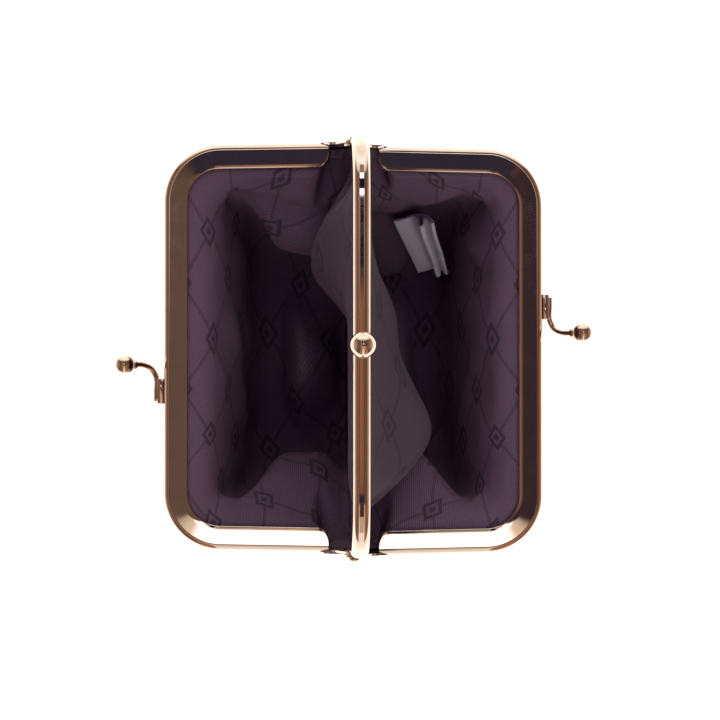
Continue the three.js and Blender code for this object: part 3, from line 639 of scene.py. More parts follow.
def divider_half_width(z):
    """Half width of the divider: inside the centre arch, then out to the hinges, then down the seams."""
    if z > DIVIDER_ROUND_Z:
        rise = z - DIVIDER_ROUND_Z
        return DIVIDER_SIDE - DIVIDER_ROUND + math.sqrt(max(0.0, DIVIDER_ROUND**2 - rise**2))
    if z > MOUTH_Z:
        to_hinge = (HINGE_SIDE - DIVIDER_SIDE - DIVIDER_FLARE) * smooth_step(-z, 1.5, -MOUTH_Z)
        return DIVIDER_SIDE + DIVIDER_FLARE * fade(z, 3.0, 9.0) + to_hinge
    return seam_side(z)


def swell(y, height, middle, width):
    return height * math.exp(-(((y - middle) / width) ** 2))


def billow(sign, y, z, half):
    """How far the front (-1) or rear (1) lining of the divider swings out of the centre plane."""
    swing = swell(y, 18.5, -22, 19) + swell(y, 8.0, 9, 15)
    if sign < 0:
        swing = 0.86 * swing * fade(y, -8, 14) - swell(y, 10.8, 24, 11 if y < 24 else 18)
    from_top = smooth_step(BILLOW_TOP - z, 0, BILLOW_FULL)
    from_floor = smooth_step(z - FLOOR_Z, 0, BILLOW_FULL - SEAM_RUN)
    held = smooth_step(half - BILLOW_HELD - abs(y), 0, BILLOW_RUN)
    loose = ripple(sign * 20 + 0.3 * y, y, z) * 0.7
    lip = sign * DIVIDER_LIP * smooth_step(DIVIDER_TOP - CHANNEL_HOLD - z, 0, 8) * smooth_step(z, -5, 24)
    return ((swing + loose) * from_top * from_floor + lip) * held


for side_name, sign in (("front", -1), ("rear", 1)):
    rows, flat_rows = [], []
    for i in range(DIVIDER_ROWS + 1):
        z = DIVIDER_TOP + (FLOOR_Z - DIVIDER_TOP) * i / DIVIDER_ROWS
        half = divider_half_width(z)
        ys = [half * (1 - 2 * k / DIVIDER_COLUMNS) for k in range(DIVIDER_COLUMNS + 1)]
        rows.append([(sign * DIVIDER_GAP + billow(sign, y, z, half), y, HINGE + z) for y in ys])
        flat_rows.append([(y, DIVIDER_TOP - z) for y in ys])
    wall = cloth_piece(f"divider_twill_{side_name}", rows, LINING_CLOTH, twill, np.array(flat_rows))
    rounded_off(wall)
    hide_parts(f"divider_lining_{side_name}")
    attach(wall, "root")


# Care label: a blank white satin tape folded into a loop, its two ends caught in the rear pouch's seam.
# The loop lies in two pleats, and the tape's width runs down into the pouch.
LABEL_TOP = Vector((11.94, 36.34, 25.21))
LABEL_OUT = Vector((0.893, 0.118, 0.4345)).normalized()
LABEL_ALONG = Vector((0.405, -0.73, -0.55)).normalized()
LABEL_WIDTH, LABEL_TAPE = 19.0, 0.35
LABEL_FOLD = [
    (0.0, -0.25), (2.9, -0.6), (4.6, -1.2), (6.2, -1.4), (8.1, -1.0), (10.0, 0.5), (11.3, 2.2), (12.0, 3.7),
    (11.6, 4.0), (10.9, 3.2), (9.9, 1.6), (9.0, 0.6), (8.9, 2.2), (9.2, 3.9), (8.6, 4.7), (7.8, 3.9),
    (7.3, 2.0), (6.8, 0.0), (5.8, -0.8), (4.6, -0.7), (2.9, -0.1), (0.0, 0.25),
]
LABEL_STEPS, LABEL_ROWS = 120, 24

satin, tree, shader = new_material(
    "white_satin_tape", Roughness=0.42, Sheen_Weight=0.3, Subsurface_Weight=0.15, Subsurface_Scale=0.001,
)
height, fleck = threads_of(tree, flat_place(tree), 0.22, 0.0, 0.8)
# Painted shade: the white tape's colour is greyed because it lies deep in the rear pouch, and its weave is
# darker in the grooves
tree.links.new(shaded(tree, (0.58, 0.52, 0.54), 0.85, 1.08, height), shader.inputs["Base Color"])
bumped(tree, shader, height, 0.25, 0.00005)

label_over = LABEL_ALONG.cross(LABEL_OUT).normalized()
fold = [along_curve(LABEL_FOLD, k / LABEL_STEPS) for k in range(LABEL_STEPS + 1)]
rows = []
for i in range(LABEL_ROWS + 1):
    t = i / LABEL_ROWS
    narrowing = 1.08 - 0.28 * t
    tight = 1 - 0.2 * smooth_step(t, 0.1, 0.7) + 0.05 * math.sin(7 * t)
    row = []
    for x, y in fold:
        curl = 0.5 * math.sin(math.pi * t + 0.4) * (x / 12) ** 2
        spot = LABEL_TOP + LABEL_OUT * (x * narrowing) + label_over * (y * tight + curl)
        row.append(tuple(spot + LABEL_ALONG * (LABEL_WIDTH * t)))
    rows.append(row)
tape = cloth_piece("satin_care_label", rows, LABEL_TAPE, satin)
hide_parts("care_label")
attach(tape, "root")


# Frames: three arches of thin brass strip, each folded into a channel with a rounded nose, polished and
# plated pale gold. Flat tabs with eyelets at their ends hang on the hinge rivets. The two outer arches lie
# open, the centre one stands up and is a little narrower, so that the tabs pass each other.
FRAME_WIDTH, FRAME_TOP, FRAME_HEIGHT, FRAME_ROUND = 111.0, 109.0, 51.4, 15.5
CHANNEL_DEPTH, BAR_HALF, SHEET, NOSE = 6.6, 2.2, 0.6, 1.6
CHANNEL_MOUTH = 2.2
FLANGE_START, TIP_LENGTH, TIP_DEPTH = 6.9, 2.5, 3.6
CENTRE_INSET, LAYER_SHIFT, BAR_OFFSET = 2.7, 0.45, 4.7
TAB_WIDTH, TAB_IN_CHANNEL, EYELET, RIVET, RIVET_FIT = 3.2, 2.2, 3.0, 1.0, 0.08
TAB_EDGE, EYELET_STEPS = 0.08, 48
GOLD_COLOUR = (0.80, 0.61, 0.46)

polish, given, result = shader_group(
    "polished_plating",
    [("Place", "NodeSocketVector", None), ("Colour", "NodeSocketColor", (*GOLD_COLOUR, 1.0)),
     ("Wave", "NodeSocketFloat", 0.2)],
    [("Colour", "NodeSocketColor"), ("Roughness", "NodeSocketFloat"), ("Height", "NodeSocketFloat")],
)
smudge = noise_of(polish, given["Place"], 240.0, 4.0)
dulled = times(polish, maths(polish, "POWER", smudge, 2.0), 0.08)
polish.links.new(maths(polish, "ADD", dulled, 0.02), result["Roughness"])
waviness = noise_of(polish, given["Place"], 60.0, 1.0)
polish.links.new(times(polish, waviness, given["Wave"]), result["Height"])
polish.links.new(shaded(polish, given["Colour"], 0.9, 1.08, smudge), result["Colour"])


def gold_finish(name, wave):
    """Pale gold plating over polished brass, with its own waviness."""
    material, tree, shader = new_material(name, Metallic=1.0)
    node = add_node(tree, "ShaderNodeGroup", node_tree=polish)
    tree.links.new(object_place(tree), node.inputs["Place"])
    node.inputs["Wave"].default_value = wave
    tree.links.new(node.outputs["Colour"], shader.inputs["Base Color"])
    tree.links.new(node.outputs["Roughness"], shader.inputs["Roughness"])
    bumped(tree, shader, node.outputs["Height"], 1.0, 0.0002)
    return material


frame_gold = gold_finish("pale_gold_frame", 0.04)
clasp_gold = gold_finish("pale_gold_clasp", 0.12)


def arch_line(inset, start, corner_steps=26, side_steps=30, bar_steps=44):
    """Outer edge of an arch as y, h and its outward normal, from the +Y end round to the -Y end."""
    width, top = FRAME_WIDTH - inset, FRAME_TOP - inset
    lean = math.atan((width - top) / 2 / FRAME_HEIGHT)
    centre_h = FRAME_HEIGHT - FRAME_ROUND
    centre_y = width / 2 - (FRAME_ROUND + math.sin(lean) * centre_h) / math.cos(lean)
    first = np.array([width / 2 - math.tan(lean) * start, start])
    corner = []
    for k in range(corner_steps + 1):
        a = lean + (math.pi / 2 - lean) * k / corner_steps
        y, h = centre_y + FRAME_ROUND * math.cos(a), centre_h + FRAME_ROUND * math.sin(a)
        corner.append((y, h, math.cos(a), math.sin(a)))
    side = []
    for k in range(side_steps):
        y, h = first + (np.array(corner[0][:2]) - first) * (k / side_steps) ** 1.6
        side.append((y, h, math.cos(lean), math.sin(lean)))
    last_y, last_h = corner[-1][:2]
    bar = [(last_y * (1 - 2 * k / bar_steps), last_h, 0.0, 1.0) for k in range(1, bar_steps)]
    half = side + corner
    return half + bar + [(-y, h, -ny, nh) for y, h, ny, nh in reversed(half)]


def mirrored(points):
    return [(t, -a) for t, a in points]


def channel_outline(depth):
    """The folded strip's section as inward, across: outer side, lip, inner side and back."""
    lip = SHEET / 2
    reach = depth - lip
    narrowing = (CHANNEL_MOUTH / 2 + SHEET - BAR_HALF) / (CHANNEL_DEPTH - NOSE)
    outer, inner = [], []
    for share in (1.0, 0.7, 0.4, 0.03, 0.0):
        t = NOSE + (reach - NOSE) * share
        across = BAR_HALF + narrowing * max(0.0, t - NOSE)
        outer.append((t, across))
        inner.append((t, across - SHEET))
    for k in range(1, 9):
        a = math.pi / 2 * k / 8
        bend = NOSE - SHEET
        outer.append((NOSE - NOSE * math.sin(a), BAR_HALF - NOSE + NOSE * math.cos(a)))
        inner.append((NOSE - bend * math.sin(a), BAR_HALF - NOSE + bend * math.cos(a)))
    outer.append((0.0, BAR_HALF - NOSE - 0.1))
    middle = outer[0][1] - lip
    turns = [math.pi / 2 * (1 - k / 4) for k in range(9)]
    tip = [(reach + lip * math.cos(a), middle + lip * math.sin(a)) for a in turns]
    folded_side = outer + mirrored(outer[::-1]) + mirrored(tip)[1:-1]
    return folded_side + mirrored(inner) + inner[::-1] + tip[::-1][1:-1]


def tab_outline(bar_offset):
    """The tab's edge: down from the channel, round the eyelet and back up, as x, h."""
    neck, shoulder = TAB_WIDTH / 2, FLANGE_START - 1

    def touch(x, way):
        """Angle at which a line from the shoulder touches the eyelet."""
        return math.atan2(shoulder, x) + way * math.acos(min(1, EYELET / math.hypot(x, shoulder)))

    first, last = touch(bar_offset - neck, 1), touch(bar_offset + neck, -1) + 2 * math.pi
    up_in_channel = FLANGE_START + TAB_IN_CHANNEL
    return [
        (bar_offset - neck, up_in_channel), (bar_offset - neck, shoulder),
        *((EYELET * math.cos(a), EYELET * math.sin(a)) for a in np.linspace(first, last, 33)),
        (bar_offset + neck, shoulder), (bar_offset + neck, up_in_channel),
    ]


def hinge_tab(name, half, slope, bar_offset, end, place):
    """Flat tab that hangs from the channel's web and ends in an eyelet round the rivet."""
    outline = tab_outline(bar_offset)
    loop = np.array(outline + outline[:1])
    run = np.concatenate([[0], np.cumsum(np.hypot(*np.diff(loop, axis=0).T))])
    stops = np.arange(EYELET_STEPS) * run[-1] / EYELET_STEPS
    rim = [(np.interp(t, run, loop[:, 0]), np.interp(t, run, loop[:, 1])) for t in stops]
    start = math.atan2(rim[0][1], rim[0][0])
    turns = [start + 2 * math.pi * k / EYELET_STEPS for k in range(EYELET_STEPS)]
    hole = [((RIVET + RIVET_FIT) * math.cos(a), (RIVET + RIVET_FIT) * math.sin(a)) for a in turns]
    inside = half - SHEET
    levels = [
        (rim, 1.0, inside), (rim, 1.0, inside + TAB_EDGE), (rim, 1.0, half - TAB_EDGE), (rim, 1.0, half),
        (hole, 1 + TAB_EDGE, half), (hole, 1.0, half - TAB_EDGE), (hole, 1.0, inside + TAB_EDGE),
        (hole, 1 + TAB_EDGE, inside),
    ]
    points, faces = [], []
    for ring, grow, y in levels:
        for x, h in ring:
            crank = min(1, max(0, (h - EYELET) / (FLANGE_START - EYELET)))
            drop = slope * (crank * FLANGE_START + max(0, h - FLANGE_START))
            points.append(place(x * grow, end * (y - drop), h * grow))
    for i in range(len(levels)):
        this, following = i * EYELET_STEPS, (i + 1) % len(levels) * EYELET_STEPS
        for j in range(EYELET_STEPS):
            k = (j + 1) % EYELET_STEPS
            faces.append((this + j, this + k, following + k, following + j))
    return new_piece(name + "_tab", points, faces, frame_gold)


def frame_arch(name, inset, bar_offset, place):
    """One arch as a closed mesh: the channel with rounded tips, and a tab with its eyelet at each end."""
    line = arch_line(inset, FLANGE_START)
    travel = [0.0]
    for a, b in zip(line, line[1:]):
        travel.append(travel[-1] + math.hypot(b[0] - a[0], b[1] - a[1]))
    rings = []
    for (y, h, ny, nh), run in zip(line, travel):
        from_end = min(run, travel[-1] - run)
        angle = math.acos(1 - min(from_end / TIP_LENGTH, 1.0))
        section = channel_outline(CHANNEL_DEPTH - TIP_DEPTH * (1 - math.sin(angle)))
        rings.append([place(bar_offset + a, y - t * ny, h - t * nh) for t, a in section])
    arch = closed_rings(name, rings, frame_gold)
    half, slope = (FRAME_WIDTH - inset) / 2, (FRAME_WIDTH - FRAME_TOP) / 2 / FRAME_HEIGHT
    parts = [arch] + [hinge_tab(name, half, slope, bar_offset, end, place) for end in (1, -1)]
    with bpy.context.temp_override(active_object=arch, selected_editable_objects=parts):
        bpy.ops.object.join()
    return arch


def upright(x, y, h):
    return (x, y, HINGE + h)


def open_front(x, y, h):
    return (-h, y + LAYER_SHIFT, HINGE + x)


def open_rear(x, y, h):
    return (h, -(y + LAYER_SHIFT), HINGE + x)


def face_outwards(piece):
    """Turns a closed mesh's faces outwards and smooths it by angle."""
    work = bmesh.new()
    work.from_mesh(piece.data)
    bmesh.ops.recalc_face_normals(work, faces=work.faces)
    work.to_mesh(piece.data)
    work.free()
    piece.data.shade_smooth()
    piece.data.set_sharp_from_angle(angle=math.radians(50))


def stands_for(piece, node, body):
    """The piece takes a CAD node's place and moves with its body."""
    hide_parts(node)
    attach(piece, body)


# For each arch: its side, its CAD node, its body, how much narrower it is, its bar's offset, and how it lies
ARCHES = [
    ("front", "front_frame_half", "front_half", 0.0, -BAR_OFFSET, open_front),
    ("rear", "rear_frame_half", "rear_half", 0.0, -BAR_OFFSET, open_rear),
    ("centre", "centre_frame", "root", CENTRE_INSET, 0.0, upright),
]
for side_name, node, body, inset, offset, place in ARCHES:
    arch = frame_arch(f"{side_name}_frame_arch", inset, offset, place)
    face_outwards(arch)
    stands_for(arch, node, body)


# Hinge rivets: a turned brass pin through the three eyelets at each end of the hinge, domed outside and
# peened over inside. They sit tight in the centre frame, and both halves swing on them.
RIVET_OUTSIDE = FRAME_WIDTH / 2 + LAYER_SHIFT + 0.2
RIVET_INSIDE = (FRAME_WIDTH - CENTRE_INSET) / 2 - SHEET - 0.2
RIVET_HEAD, RIVET_RIM, RIVET_DOME, RIVET_PEEN, PEEN_HEIGHT = 1.75, 0.35, 1.3, 1.6, 0.7


def ball_arc(radius, start, steps):
    """A ball's side as radius and distance along its axis, from an angle at its lower pole to its top."""
    angles = [start + (math.pi - start) * k / steps for k in range(steps + 1)]
    return [(radius * math.sin(a), -radius * math.cos(a)) for a in angles]


def round_body(name, stations, place, around):
    """A closed round body from stations: middle, the two directions across, and radius."""
    turns = [2 * math.pi * k / around for k in range(around)]
    rings = [
        [place(*(middle + (side * math.cos(a) + over * math.sin(a)) * radius)) for a in turns]
        for middle, side, over, radius in stations
    ]
    piece = closed_rings(name, rings, clasp_gold)
    face_outwards(piece)
    return piece


def turned(name, profile, centre, axis, place, around=40):
    """A piece turned on a lathe: its profile holds radius and distance along the axis."""
    axis = Vector(axis).normalized()
    side = axis.orthogonal().normalized()
    over = axis.cross(side)
    stations = [(Vector(centre) + axis * along, side, over, max(radius, 0.02)) for radius, along in profile]
    return round_body(name, stations, place, around)


dome_turns = [math.pi / 2 * k / 10 for k in range(11)]
rivet_profile = [
    (0.0, RIVET_INSIDE - PEEN_HEIGHT), (RIVET_PEEN * 0.7, RIVET_INSIDE - PEEN_HEIGHT * 0.92),
    (RIVET_PEEN * 0.95, RIVET_INSIDE - PEEN_HEIGHT * 0.6), (RIVET_PEEN, RIVET_INSIDE - PEEN_HEIGHT * 0.3),
    (RIVET_PEEN * 0.92, RIVET_INSIDE), (RIVET, RIVET_INSIDE), (RIVET, RIVET_OUTSIDE),
    (RIVET_HEAD * 0.94, RIVET_OUTSIDE), (RIVET_HEAD, RIVET_OUTSIDE + 0.08),
    *((RIVET_HEAD * math.cos(a), RIVET_OUTSIDE + RIVET_RIM + (RIVET_DOME - RIVET_RIM) * math.sin(a))
      for a in dome_turns),
]
for side_name, end in (("left", 1), ("right", -1)):
    rivet = turned(f"{side_name}_domed_rivet", rivet_profile, (0, 0, 0), (0, end, 0), upright)
    stands_for(rivet, f"{side_name}_hinge_rivet", "root")


# Clasp: three turned brass balls. The middle one stands on a flanged post on the centre bar. Each side ball
# has a collar and sits on a bent wire arm, which is brazed into a grooved foot on its half's bar.
BALL, SIDE_BALL, SIDE_COLLAR, COLLAR_LENGTH = 3.25, 2.8, 1.45, 0.9
BALL_HEIGHT = FRAME_HEIGHT + 6.2
POST_NECK, POST_FLANGE, POST_FLANGE_HEIGHT, SPIGOT = 1.15, 2.0, 0.7, 1.5
FOOT_START, FOOT_END, FOOT_HALF, FOOT_HEIGHT, FOOT_WALL, SEAT = 8.5, 15.3, 1.5, 1.35, 0.9, 0.2
FOOT_EDGE, FOOT_ENDS = 0.15, 0.12
ARM_WIRE, ARM_STEPS = 0.85, 60
SIDE_BALL_PLACE = np.array((1.6, -4.8, FRAME_HEIGHT + 10.2))

foot_base = FRAME_HEIGHT + SEAT
flange_top = foot_base + POST_FLANGE_HEIGHT
post_top = BALL_HEIGHT - BALL + SPIGOT - SEAT
post_profile = [
    (0.0, foot_base), (POST_FLANGE * 0.96, foot_base), (POST_FLANGE, foot_base + 0.1),
    (POST_FLANGE, flange_top - 0.12), (POST_FLANGE * 0.94, flange_top), (POST_NECK * 1.25, flange_top + 0.1),
    (POST_NECK, flange_top + 0.45), (POST_NECK, post_top), (0.0, post_top),
]
post = turned("centre_post", post_profile, (0, 0, 0), (0, 0, 1), upright)
stands_for(post, "centre_clasp_post", "root")
ball_profile = [(POST_NECK + 0.1, SPIGOT - BALL), *ball_arc(BALL, math.asin((POST_NECK + 0.12) / BALL), 30)]
ball = turned("centre_ball", ball_profile, (0, 0, BALL_HEIGHT), (0, 0, 1), upright, 56)
stands_for(ball, "centre_clasp_ball", "root")

wire_height = foot_base + FOOT_WALL + ARM_WIRE
rise = SIDE_BALL_PLACE[2] - wire_height
sidewards = SIDE_BALL_PLACE[0] + BAR_OFFSET
onwards = FOOT_START + SIDE_BALL_PLACE[1]
lean = np.array((0.27 * sidewards, 0.0, 0.25 * rise))
lean /= np.linalg.norm(lean)
arm_route = [
    (-BAR_OFFSET, 0.4 - FOOT_END, wire_height), (-BAR_OFFSET, -(FOOT_START + FOOT_END) / 2, wire_height),
    (-BAR_OFFSET, -FOOT_START, wire_height),
    (-BAR_OFFSET + 0.05 * sidewards, -FOOT_START + 0.66 * onwards, wire_height + 0.15 * rise),
    (-BAR_OFFSET + 0.28 * sidewards, SIDE_BALL_PLACE[1] - 0.02 * onwards, wire_height + 0.43 * rise),
    tuple(SIDE_BALL_PLACE - lean * (SIDE_BALL - SPIGOT + SEAT)),
]


def wire_arm(name, place):
    """The arm: a round wire along its smooth route, with rounded ends."""
    spots = [along_curve(arm_route, k / ARM_STEPS) for k in range(ARM_STEPS + 1)]
    side = np.array((1.0, 0.0, 0.0))
    stations = []
    for k, spot in enumerate(spots):
        ahead = spots[min(k + 1, ARM_STEPS)] - spots[max(k - 1, 0)]
        ahead /= np.linalg.norm(ahead)
        side = side - ahead * np.dot(side, ahead)
        side /= np.linalg.norm(side)
        slim = math.sqrt(1 - (1 - min(1.0, (k + 0.15) / 4)) ** 2)
        stations.append((spot, side, np.cross(ahead, side), ARM_WIRE * slim))
    return round_body(name, stations, place, 20)


def grooved_foot(name, place):
    """The foot: a small block with a groove along it for the wire, and softened ends."""
    groove = ARM_WIRE + SEAT / 2
    wire_up = wire_height - foot_base
    groove_start = math.asin((wire_up - FOOT_HEIGHT) / groove)
    groove_arc = [-math.pi + groove_start + (math.pi - 2 * groove_start) * k / 12 for k in range(13)]
    wall = [
        (FOOT_HALF, FOOT_EDGE), (FOOT_HALF, FOOT_HEIGHT - FOOT_EDGE), (FOOT_HALF - FOOT_ENDS, FOOT_HEIGHT),
    ]
    section = [(-FOOT_HALF + FOOT_EDGE, -SEAT), (FOOT_HALF - FOOT_EDGE, -SEAT), *wall]
    section += [(groove * math.cos(a), wire_up + groove * math.sin(a)) for a in reversed(groove_arc)]
    section += [(-x, h) for x, h in reversed(wall)]
    stations = [
        (-FOOT_END, 0.9), (-FOOT_END + FOOT_ENDS, 1.0), (-FOOT_START - FOOT_ENDS, 1.0), (-FOOT_START, 0.9),
    ]
    rings = [
        [place(-BAR_OFFSET + x * shrink, y, foot_base + h * shrink) for x, h in section]
        for y, shrink in stations
    ]
    piece = closed_rings(name, rings, clasp_gold)
    face_outwards(piece)
    return piece


collar_foot = -SIDE_BALL - COLLAR_LENGTH
side_profile = [
    (0.0, collar_foot), (SIDE_COLLAR * 0.9, collar_foot), (SIDE_COLLAR, collar_foot + 0.12),
    (SIDE_COLLAR, -SIDE_BALL - 0.1), (SIDE_COLLAR * 0.86, -SIDE_BALL + 0.25),
    *ball_arc(SIDE_BALL, math.asin(SIDE_COLLAR * 0.93 / SIDE_BALL), 26),
]
ball_way = along_curve(arm_route, 1.0) - along_curve(arm_route, 0.99)
for side_name, place in (("front", open_front), ("rear", open_rear)):
    body = f"{side_name}_half"
    stands_for(grooved_foot(f"{side_name}_foot", place), f"{side_name}_clasp_foot", body)
    stands_for(wire_arm(f"{side_name}_wire_arm", place), f"{side_name}_clasp_arm", body)
    ball = turned(f"{side_name}_collared_ball", side_profile, SIDE_BALL_PLACE, ball_way, place, 48)
    stands_for(ball, f"{side_name}_clasp_ball", body)


# Channel cords: twisted paper string pushed into each channel over the edges of the cloth. It swells a
# little in its place and grips them, so nothing is glued or sewn to the metal.
CORD_RADIUS, CORD_TURN, CORD_STEP, CORD_STRANDS = 0.95, 5.5, 0.7, 3
CORD_SEAT = SHEET + 0.3 + CORD_RADIUS
CORD_END = FLANGE_START + TIP_LENGTH + 0.5

twist = bpy.data.node_groups.new("twisted_string", "GeometryNodeTree")
for label, kind in (
    ("Route", "NodeSocketGeometry"), ("Radius", "NodeSocketFloat"), ("Turn", "NodeSocketFloat"),
    ("Step", "NodeSocketFloat"), ("Strands", "NodeSocketInt"), ("Finish", "NodeSocketMaterial"),
):
    twist.interface.new_socket(name=label, in_out="INPUT", socket_type=kind)
twist.interface.new_socket(name="String", in_out="OUTPUT", socket_type="NodeSocketGeometry")
given, result = twist.nodes.new("NodeGroupInput").outputs, twist.nodes.new("NodeGroupOutput").inputs
line = out_of(twist, "GeometryNodeMeshToCurve", {"Mesh": given["Route"]})
line = out_of(twist, "GeometryNodeResampleCurve", {"Curve": line, "Length": given["Step"]}, mode="LENGTH")
far_along = add_node(twist, "GeometryNodeSplineParameter").outputs["Length"]
tilt = times(twist, maths(twist, "DIVIDE", far_along, given["Turn"]), 2 * math.pi)
line = out_of(twist, "GeometryNodeSetCurveTilt", {"Curve": line, "Tilt": tilt})
ring = out_of(twist, "GeometryNodeCurvePrimitiveCircle", {"Resolution": 18, "Radius": given["Radius"]})
on_ring = out_of(twist, "GeometryNodeInputPosition")
ring_x, ring_y, _ = add_node(twist, "ShaderNodeSeparateXYZ", {0: on_ring}).outputs
lobes = maths(twist, "COSINE", times(twist, maths(twist, "ARCTAN2", ring_y, ring_x), given["Strands"]))
lobed = scaled(twist, on_ring, maths(twist, "ADD", times(twist, lobes, 0.11), 0.89))
ring = out_of(twist, "GeometryNodeSetPosition", {"Geometry": ring, "Position": lobed})
rope = {"Curve": line, "Profile Curve": ring, "Fill Caps": True}
rope = out_of(twist, "GeometryNodeCurveToMesh", rope)
rope = out_of(twist, "GeometryNodeRealizeInstances", {"Geometry": rope})
rope = out_of(twist, "GeometryNodeSetMaterial", {"Geometry": rope, "Material": given["Finish"]})
twist.links.new(rope, result[0])


def grown(name, points, group, **inputs):
    """The mesh that a geometry node group makes along a line of points, as a plain piece."""
    route = bpy.data.meshes.new(name)
    edges = [(k, k + 1) for k in range(len(points) - 1)]
    route.from_pydata((np.array(points) * MM).tolist(), edges, [])
    piece = bpy.data.objects.new(name, route)
    bpy.context.scene.collection.objects.link(piece)
    nodes = piece.modifiers.new("grown", "NODES")
    nodes.node_group = group
    for socket in group.interface.items_tree:
        if socket.in_out == "INPUT" and socket.name in inputs:
            nodes[socket.identifier] = inputs[socket.name]
    made = piece.evaluated_get(bpy.context.evaluated_depsgraph_get())
    mesh = bpy.data.meshes.new_from_object(made)
    piece.modifiers.remove(nodes)
    piece.data = mesh
    mesh.shade_smooth()
    return piece


paper, tree, shader = new_material("twisted_paper", Roughness=0.9)
fibres = noise_of(tree, object_place(tree), 1400.0, 3.0)
tree.links.new(shaded(tree, (0.45, 0.33, 0.19), 0.75, 1.15, fibres), shader.inputs["Base Color"])
bumped(tree, shader, fibres, 0.4, 0.0001)

for side_name, node, body, inset, offset, place in ARCHES:
    line = arch_line(inset, CORD_END)
    route = [place(offset, y - CORD_SEAT * ny, h - CORD_SEAT * nh) for y, h, ny, nh in line]
    cord = grown(
        f"{side_name}_twisted_cord", route, twist, Radius=CORD_RADIUS * MM, Turn=CORD_TURN * MM,
        Step=CORD_STEP * MM, Strands=CORD_STRANDS, Finish=paper,
    )
    stands_for(cord, f"{side_name}_channel_cord", body)


# Photo table and light: a wide white sweep under a soft box. The cloth is lit by two bright strips of the
# room, and the polished metal sees a brown room with a dark ceiling and a few bright windows.
TABLE_HALF = 3000.0
TABLE_GLOW, TABLE_SHEEN = 0.8, (0.4, -0.1)
SHEEN_RUN = (0.12, 0.5)
ROOM_LIGHT = 2.35
SOFT_BOX_PLACE, SOFT_BOX_AIM = Vector((0.02, 0.28, 0.85)), Vector((0, 0, 0.05))
SOFT_BOX_SIZE, SOFT_BOX_WATTS = (0.5, 0.4), 0.12

white, tree, shader = new_material("white_table", Roughness=0.9, Base_Color=(0.85, 0.85, 0.85, 1.0))
rays = add_node(tree, "ShaderNodeLightPath").outputs
mirrored_or_through = maths(tree, "MAXIMUM", rays["Is Glossy Ray"], rays["Is Transmission Ray"])
seen = maths(tree, "MAXIMUM", rays["Is Camera Ray"], mirrored_or_through)
away = add_node(tree, "ShaderNodeVectorMath", {0: object_place(tree)}, operation="LENGTH").outputs["Value"]
fading = {0: away, 1: SHEEN_RUN[0], 2: SHEEN_RUN[1], 3: TABLE_SHEEN[0], 4: TABLE_SHEEN[1]}
sheen = times(tree, rays["Is Glossy Ray"], out_of(tree, "ShaderNodeMapRange", fading))
strength = maths(tree, "ADD", times(tree, seen, TABLE_GLOW), sheen)
glow = out_of(tree, "ShaderNodeEmission", {"Color": (1, 1, 1, 1), "Strength": strength})
both = out_of(tree, "ShaderNodeAddShader", {0: shader.outputs[0], 1: glow})
tree.links.new(both, tree.nodes["Material Output"].inputs["Surface"])
corners = [(x * TABLE_HALF, y * TABLE_HALF, 0) for x, y in ((-1, -1), (1, -1), (1, 1), (-1, 1))]
table = new_piece("floor", corners, [(0, 1, 2, 3)], white)

world = bpy.data.worlds.new("studio")
bpy.context.scene.world = world
world.use_nodes = True
tree = world.node_tree
tree.nodes.clear()
generated = add_node(tree, "ShaderNodeTexCoord").outputs["Generated"]
to_rear, to_left, upwards = add_node(tree, "ShaderNodeSeparateXYZ", {0: generated}).outputs


def between(value, low, high, edge):
    """1 between two limits, with soft edges."""
    masks = [
        out_of(tree, "ShaderNodeMapRange", {0: value, 1: at - edge, 2: at + edge, 3: before, 4: 1 - before},
               interpolation_type="SMOOTHSTEP")
        for at, before in ((low, 0.0), (high, 1.0))
    ]
    return times(tree, *masks)


def ramp(value, stops):
    """A colour that runs through the given stops, each a value from -1 to 1 and its colour."""
    share = out_of(tree, "ShaderNodeMapRange", {0: value, 1: -1.0, 2: 1.0})
    node = add_node(tree, "ShaderNodeValToRGB", {0: share})
    elements = node.color_ramp.elements
    while len(elements) < len(stops):
        elements.new(0.5)
    for element, (at, colour) in zip(elements, stops):
        element.position = (at + 1) / 2
        element.color = (*colour, 1.0)
    return node.outputs[0]


def tone_over(under, factor, colour):
    """Mixes a further tone of the room in where the factor is 1."""
    if not isinstance(colour, bpy.types.NodeSocket):
        colour = (*colour, 1)
    mixed = add_node(tree, "ShaderNodeMix", {"Factor": factor, 6: under, 7: colour}, data_type="RGBA")
    return mixed.outputs[2]


# What the metal sees: the room's tones from front to rear, with further tones and windows laid over them
ORANGE, DARK, CREAM, WINDOW = (0.42, 0.19, 0.10), (0.046, 0.030, 0.044), (0.95, 0.88, 0.8), (1.9, 2.05, 2.5)
room = ramp(to_rear, [
    (-1.0, (0.60, 0.56, 0.54)), (-0.88, (0.34, 0.27, 0.25)), (-0.66, (0.15, 0.10, 0.09)),
    (-0.42, (0.16, 0.10, 0.085)), (-0.31, (0.36, 0.22, 0.18)), (-0.17, (0.25, 0.16, 0.13)),
    (-0.12, DARK), (-0.03, DARK), (0.02, ORANGE), (0.0401, ORANGE), (0.0407, (0.05, 0.03, 0.025)),
    (0.08, (0.07, 0.045, 0.04)), (0.14, (0.134, 0.103, 0.091)), (0.30, (0.15, 0.10, 0.095)),
    (0.58, (0.12, 0.08, 0.065)), (0.78, (0.24, 0.16, 0.13)), (0.92, (0.42, 0.30, 0.23)),
    (1.0, (0.55, 0.45, 0.38)),
])
right_wall = ramp(to_left, [
    (-1.0, (1.05, 1.1, 1.15)), (-0.8, (0.98, 1.0, 1.05)), (-0.55, (0.76, 0.68, 0.62)),
    (-0.2, (0.7, 0.62, 0.56)),
])
left_wall = ramp(to_left, [
    (0.6, (0.5, 0.45, 0.4)), (0.78, (1.05, 1.1, 1.15)), (0.92, (1.4, 1.5, 1.6)), (1.0, (1.05, 1.15, 1.2)),
])
OVER_BAR = (0.022, 0.060, 0.004)
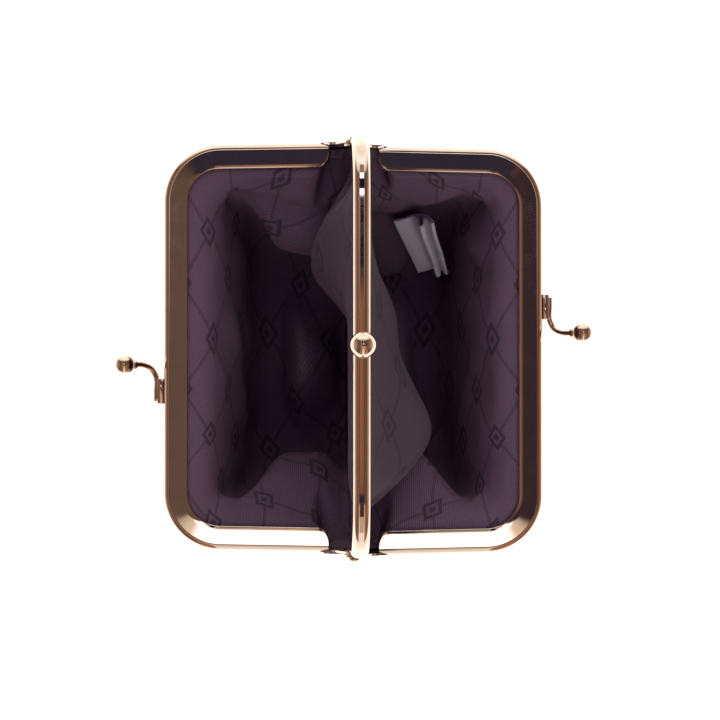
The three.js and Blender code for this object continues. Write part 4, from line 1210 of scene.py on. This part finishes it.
zones = [
    ((-2.0, -0.2, 0.05), (-0.31, 0.55, 0.03), (0.40, 0.22, 0.14)),
    ((-0.16, -0.055, 0.012), (-0.07, 0.128, 0.01), (0.033, 0.031, 0.062)),
    ((-2.0, -0.2, 0.05), (-0.10, 0.16, 0.02), right_wall),
    ((0.64, 2.0, 0.05), (-0.72, 0.72, 0.06), left_wall),
    ((0.045, 0.49, 0.012), OVER_BAR, (0.012, 0.008, 0.018)),
    ((0.49, 0.65, 0.012), OVER_BAR, WINDOW),
    ((0.65, 0.84, 0.012), OVER_BAR, (0.34, 0.25, 0.2)),
    ((-0.58, -0.16, 0.012), OVER_BAR, (0.06, 0.035, 0.03)),
    ((-0.93, -0.58, 0.012), OVER_BAR, (0.6, 0.5, 0.42)),
    ((0.05, 0.2, 0.05), (-0.052, 0.028, 0.005), CREAM),
    ((0.05, 0.2, 0.05), (0.064, 0.128, 0.005), CREAM),
]
for left_band, rear_band, tone in zones:
    room = tone_over(room, times(tree, between(to_left, *left_band), between(to_rear, *rear_band)), tone)
low_window = times(tree, between(to_left, 0.098, 0.18, 0.012), between(to_rear, -0.055, 0.125, 0.012))
room = tone_over(room, times(tree, low_window, between(upwards, 0.3, 2.0, 0.05)), WINDOW)
strips = ramp(to_rear, [
    (-1.0, (0.03, 0.03, 0.03)), (-0.58, (0.05, 0.05, 0.05)), (-0.40, (0.9, 0.88, 0.87)),
    (-0.25, (0.5, 0.49, 0.48)), (0.25, (0.6, 0.59, 0.58)), (0.40, (1.7, 1.68, 1.65)),
    (0.58, (0.06, 0.06, 0.06)), (1.0, (0.03, 0.03, 0.03)),
])
cloth_light = tone_over(strips, between(upwards, 0.80, 2.0, 0.08), (0.02, 0.005, 0.09))
rays = add_node(tree, "ShaderNodeLightPath").outputs
for_metal, for_cloth, for_camera = (
    out_of(tree, "ShaderNodeBackground", {"Color": colour, "Strength": strength})
    for colour, strength in ((room, 1.0), (cloth_light, ROOM_LIGHT), ((1, 1, 1, 1), 1.0))
)
inside = out_of(tree, "ShaderNodeMixShader", {0: rays["Is Glossy Ray"], 1: for_cloth, 2: for_metal})
shown = out_of(tree, "ShaderNodeMixShader", {0: rays["Is Camera Ray"], 1: inside, 2: for_camera})
tree.links.new(shown, add_node(tree, "ShaderNodeOutputWorld").inputs["Surface"])

soft_box = bpy.data.objects.new("soft_box", bpy.data.lights.new("soft_box", "AREA"))
soft_box.data.shape = "RECTANGLE"
soft_box.data.size, soft_box.data.size_y = SOFT_BOX_SIZE
soft_box.data.energy = SOFT_BOX_WATTS
soft_box.visible_glossy = False
facing = (SOFT_BOX_AIM - SOFT_BOX_PLACE).to_track_quat("-Z", "Y").to_matrix().to_4x4()
soft_box.matrix_world = Matrix.Translation(SOFT_BOX_PLACE) @ facing
bpy.context.scene.collection.objects.link(soft_box)

bpy.context.scene.view_settings.view_transform = "Standard"
